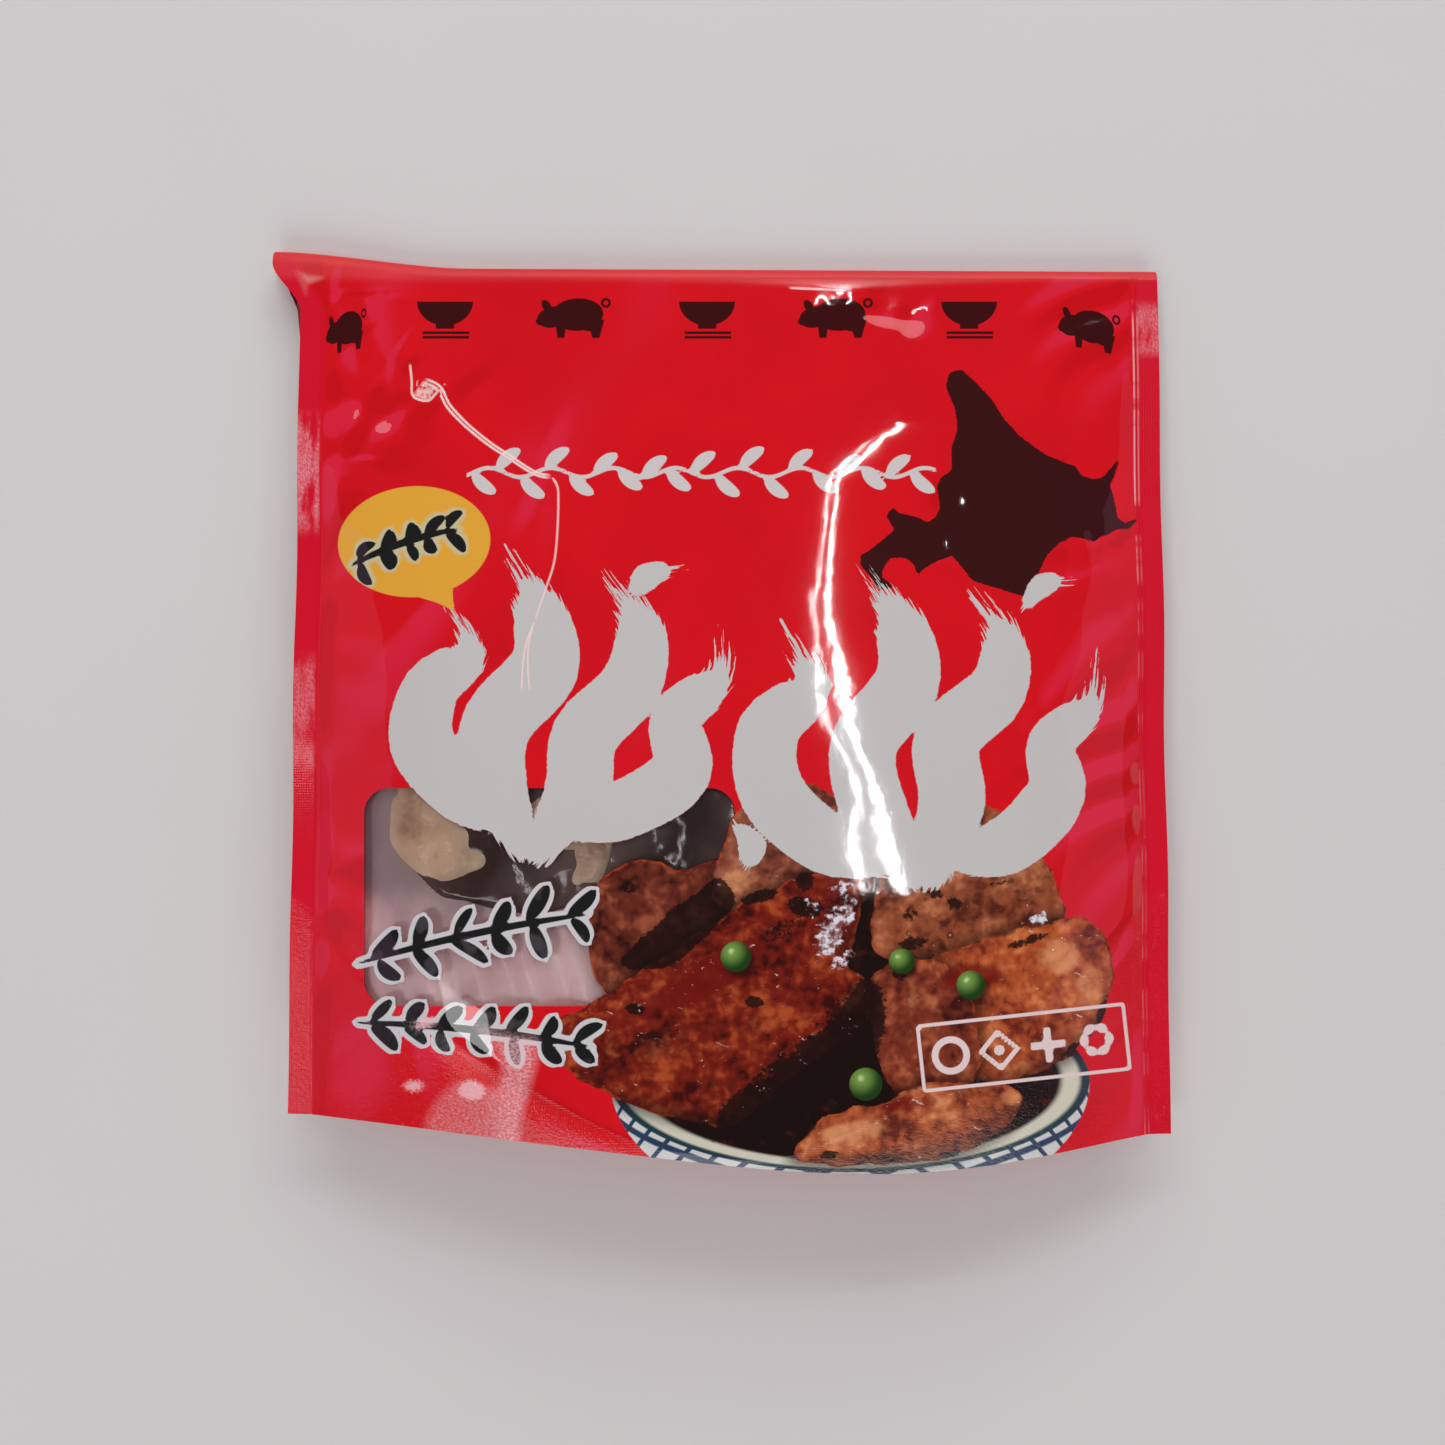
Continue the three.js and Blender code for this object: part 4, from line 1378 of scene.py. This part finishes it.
def add_slice(k, centre, radii, turn, material):
    """A slice in the sauce: a wavy oval, thin towards its drooping rim, with soft folds."""
    angle = np.linspace(0, 2 * np.pi, 97)[:-1][None, :]
    out = np.linspace(0.02, 1, 24)[:, None]
    wobble = 1 + out * (0.07 * np.sin(3 * angle + k) + 0.03 * np.sin(5 * angle + 2 * k))
    a, b = radii[0] * out * wobble * np.cos(angle), radii[1] * out * wobble * np.sin(angle)
    u, v = turned(a, b, (0, 0), -turn)
    u, v = centre[0] + u, centre[1] + v
    lid = under_film(u, v)
    level = lid - 1.5 + 0.4 * np.sin(0.6 * a + k) * np.sin(0.45 * b) - 1.0 * out**4
    bottom = level - 1.3 + 0.7 * out**3
    piece = disc_slab(f"pork_slice_{k + 1}", *to_plan(u, v, lid - 1.5), level, bottom, material)
    rings = np.broadcast_to(out[..., None], (*u.shape, 3))
    put_attribute(piece, "ring", np.concatenate([rings, rings[::-1]]))
    return piece


def add_contents():
    """What shows behind the window, each piece a slab that follows the front film at its own depth."""
    pieces = [add_lining(), add_sauce()]
    pork = raw_pork_material()
    pieces += [add_slice(k, *place, pork) for k, place in enumerate(PORK)]
    for piece in pieces:
        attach(piece, "root")


# Camera, floor and light

# Lamps: place, size and aim in metres of the plan, watts and colour
PANELS = {
    "far_panel": ((0.1, 1.6, 0.95), (1.9, 1.0), (0, 0, 0), 16, (1, 1, 1)),
    "near_panel": ((0.1, -1.6, 0.95), (1.9, 1.0), (0, 0, 0), 14, (1, 1, 1)),
    "left_card": ((-1.5, 0.0, 0.75), (0.9, 2.2), (0, 0, 0), 2.4, (1.0, 0.5, 0.85)),
    "right_card": ((1.5, 0.0, 0.75), (0.9, 2.2), (0, 0, 0), 2.4, (1.0, 0.5, 0.85)),
    "far_tube": ((0.1, 1.30, 1.05), (1.6, 0.02), (0, 0, 0), 3.0, (1, 1, 1)),
    "corner_panel": ((-0.70, -0.44, 1.5), (0.55, 0.30), (-0.70, -0.44, 0), 3.2, (1, 1, 1)),
}
# The two tubes that draw the long streaks: side, length, width and watts
STREAK_TUBES = {"first_tube": (-1, 1.0, 0.0025, 0.7), "second_tube": (1, 1.10, 0.006, 2.0)}
# The sky's strength, and half the floor's width in millimetres
SKY = 0.10
FLOOR_REACH = 3000.0


def add_camera():
    """The photograph's camera, straight above its centre."""
    camera = bpy.data.objects.new("camera", bpy.data.cameras.new("camera"))
    camera.data.sensor_width = SENSOR
    camera.data.lens = SENSOR * (CAMERA_Z - PLANE_Z) / (FRAME_PIXELS * PIXEL)
    camera.data.clip_start = 0.01
    camera.location = ((np.array([-POUCH_MIDDLE_X, 0, CAMERA_Z]) + SHIFT) * MM).tolist()
    bpy.context.scene.collection.objects.link(camera)
    bpy.context.scene.camera = camera


def add_panel(name, place, size, aim, watts, colour):
    """A rectangular lamp that faces aim, with its height along Y."""
    lamp = bpy.data.lights.new(name, "AREA")
    lamp.shape = "RECTANGLE"
    lamp.size, lamp.size_y = size
    lamp.energy = watts
    lamp.color = colour
    place = np.array(place) + SHIFT * MM
    away = place - np.array(aim) - SHIFT * MM
    away = away / np.linalg.norm(away)
    across = np.cross([0, 1, 0], away)
    across = across / np.linalg.norm(across)
    matrix = np.eye(4)
    matrix[:3] = np.stack([across, np.cross(away, across), away, place], axis=1)
    piece = bpy.data.objects.new(name, lamp)
    piece.matrix_world = Matrix(matrix.tolist())
    bpy.context.scene.collection.objects.link(piece)


def add_light():
    """Soft panels low beyond both ends, two bright tubes overhead that draw the long streaks, and a
    dim sky, so that the flat film stays deep red."""
    world = bpy.data.worlds.new("studio")
    bpy.context.scene.world = world
    world.use_nodes = True
    background = world.node_tree.nodes["Background"]
    background.inputs["Color"].default_value = (1, 1, 1, 1)
    background.inputs["Strength"].default_value = SKY
    for name, panel in PANELS.items():
        add_panel(name, *panel)
    for name, (side, reach, wide, watts) in STREAK_TUBES.items():
        x = (TUBE_X + side * TUBES_APART / 2) * MM
        add_panel(name, (x, reach / 2, TUBE_Z * MM), (wide, reach), (x, reach / 2, 0), watts, (1, 1, 1))
    bpy.context.scene.view_settings.view_transform = "Standard"


def add_floor():
    """White paper, larger than any view shows."""
    shade = Shade("floor_paper")
    colour = shade.mix(shade.noise(shade.place(), 14.0, 3.0), ink(205, 206, 204), ink(208, 209, 207))
    paper = shade.finish(shade.surface(colour, 0.9, {"Specular IOR Level": 0.1}))
    corners = FLOOR_REACH * np.array([[-1, -1, 0], [1, -1, 0], [1, 1, 0], [-1, 1, 0]])
    mesh_object("floor", corners, [[0, 1, 2, 3]], paper)


add_camera()
add_light()
add_floor()
add_contents()
add_film()
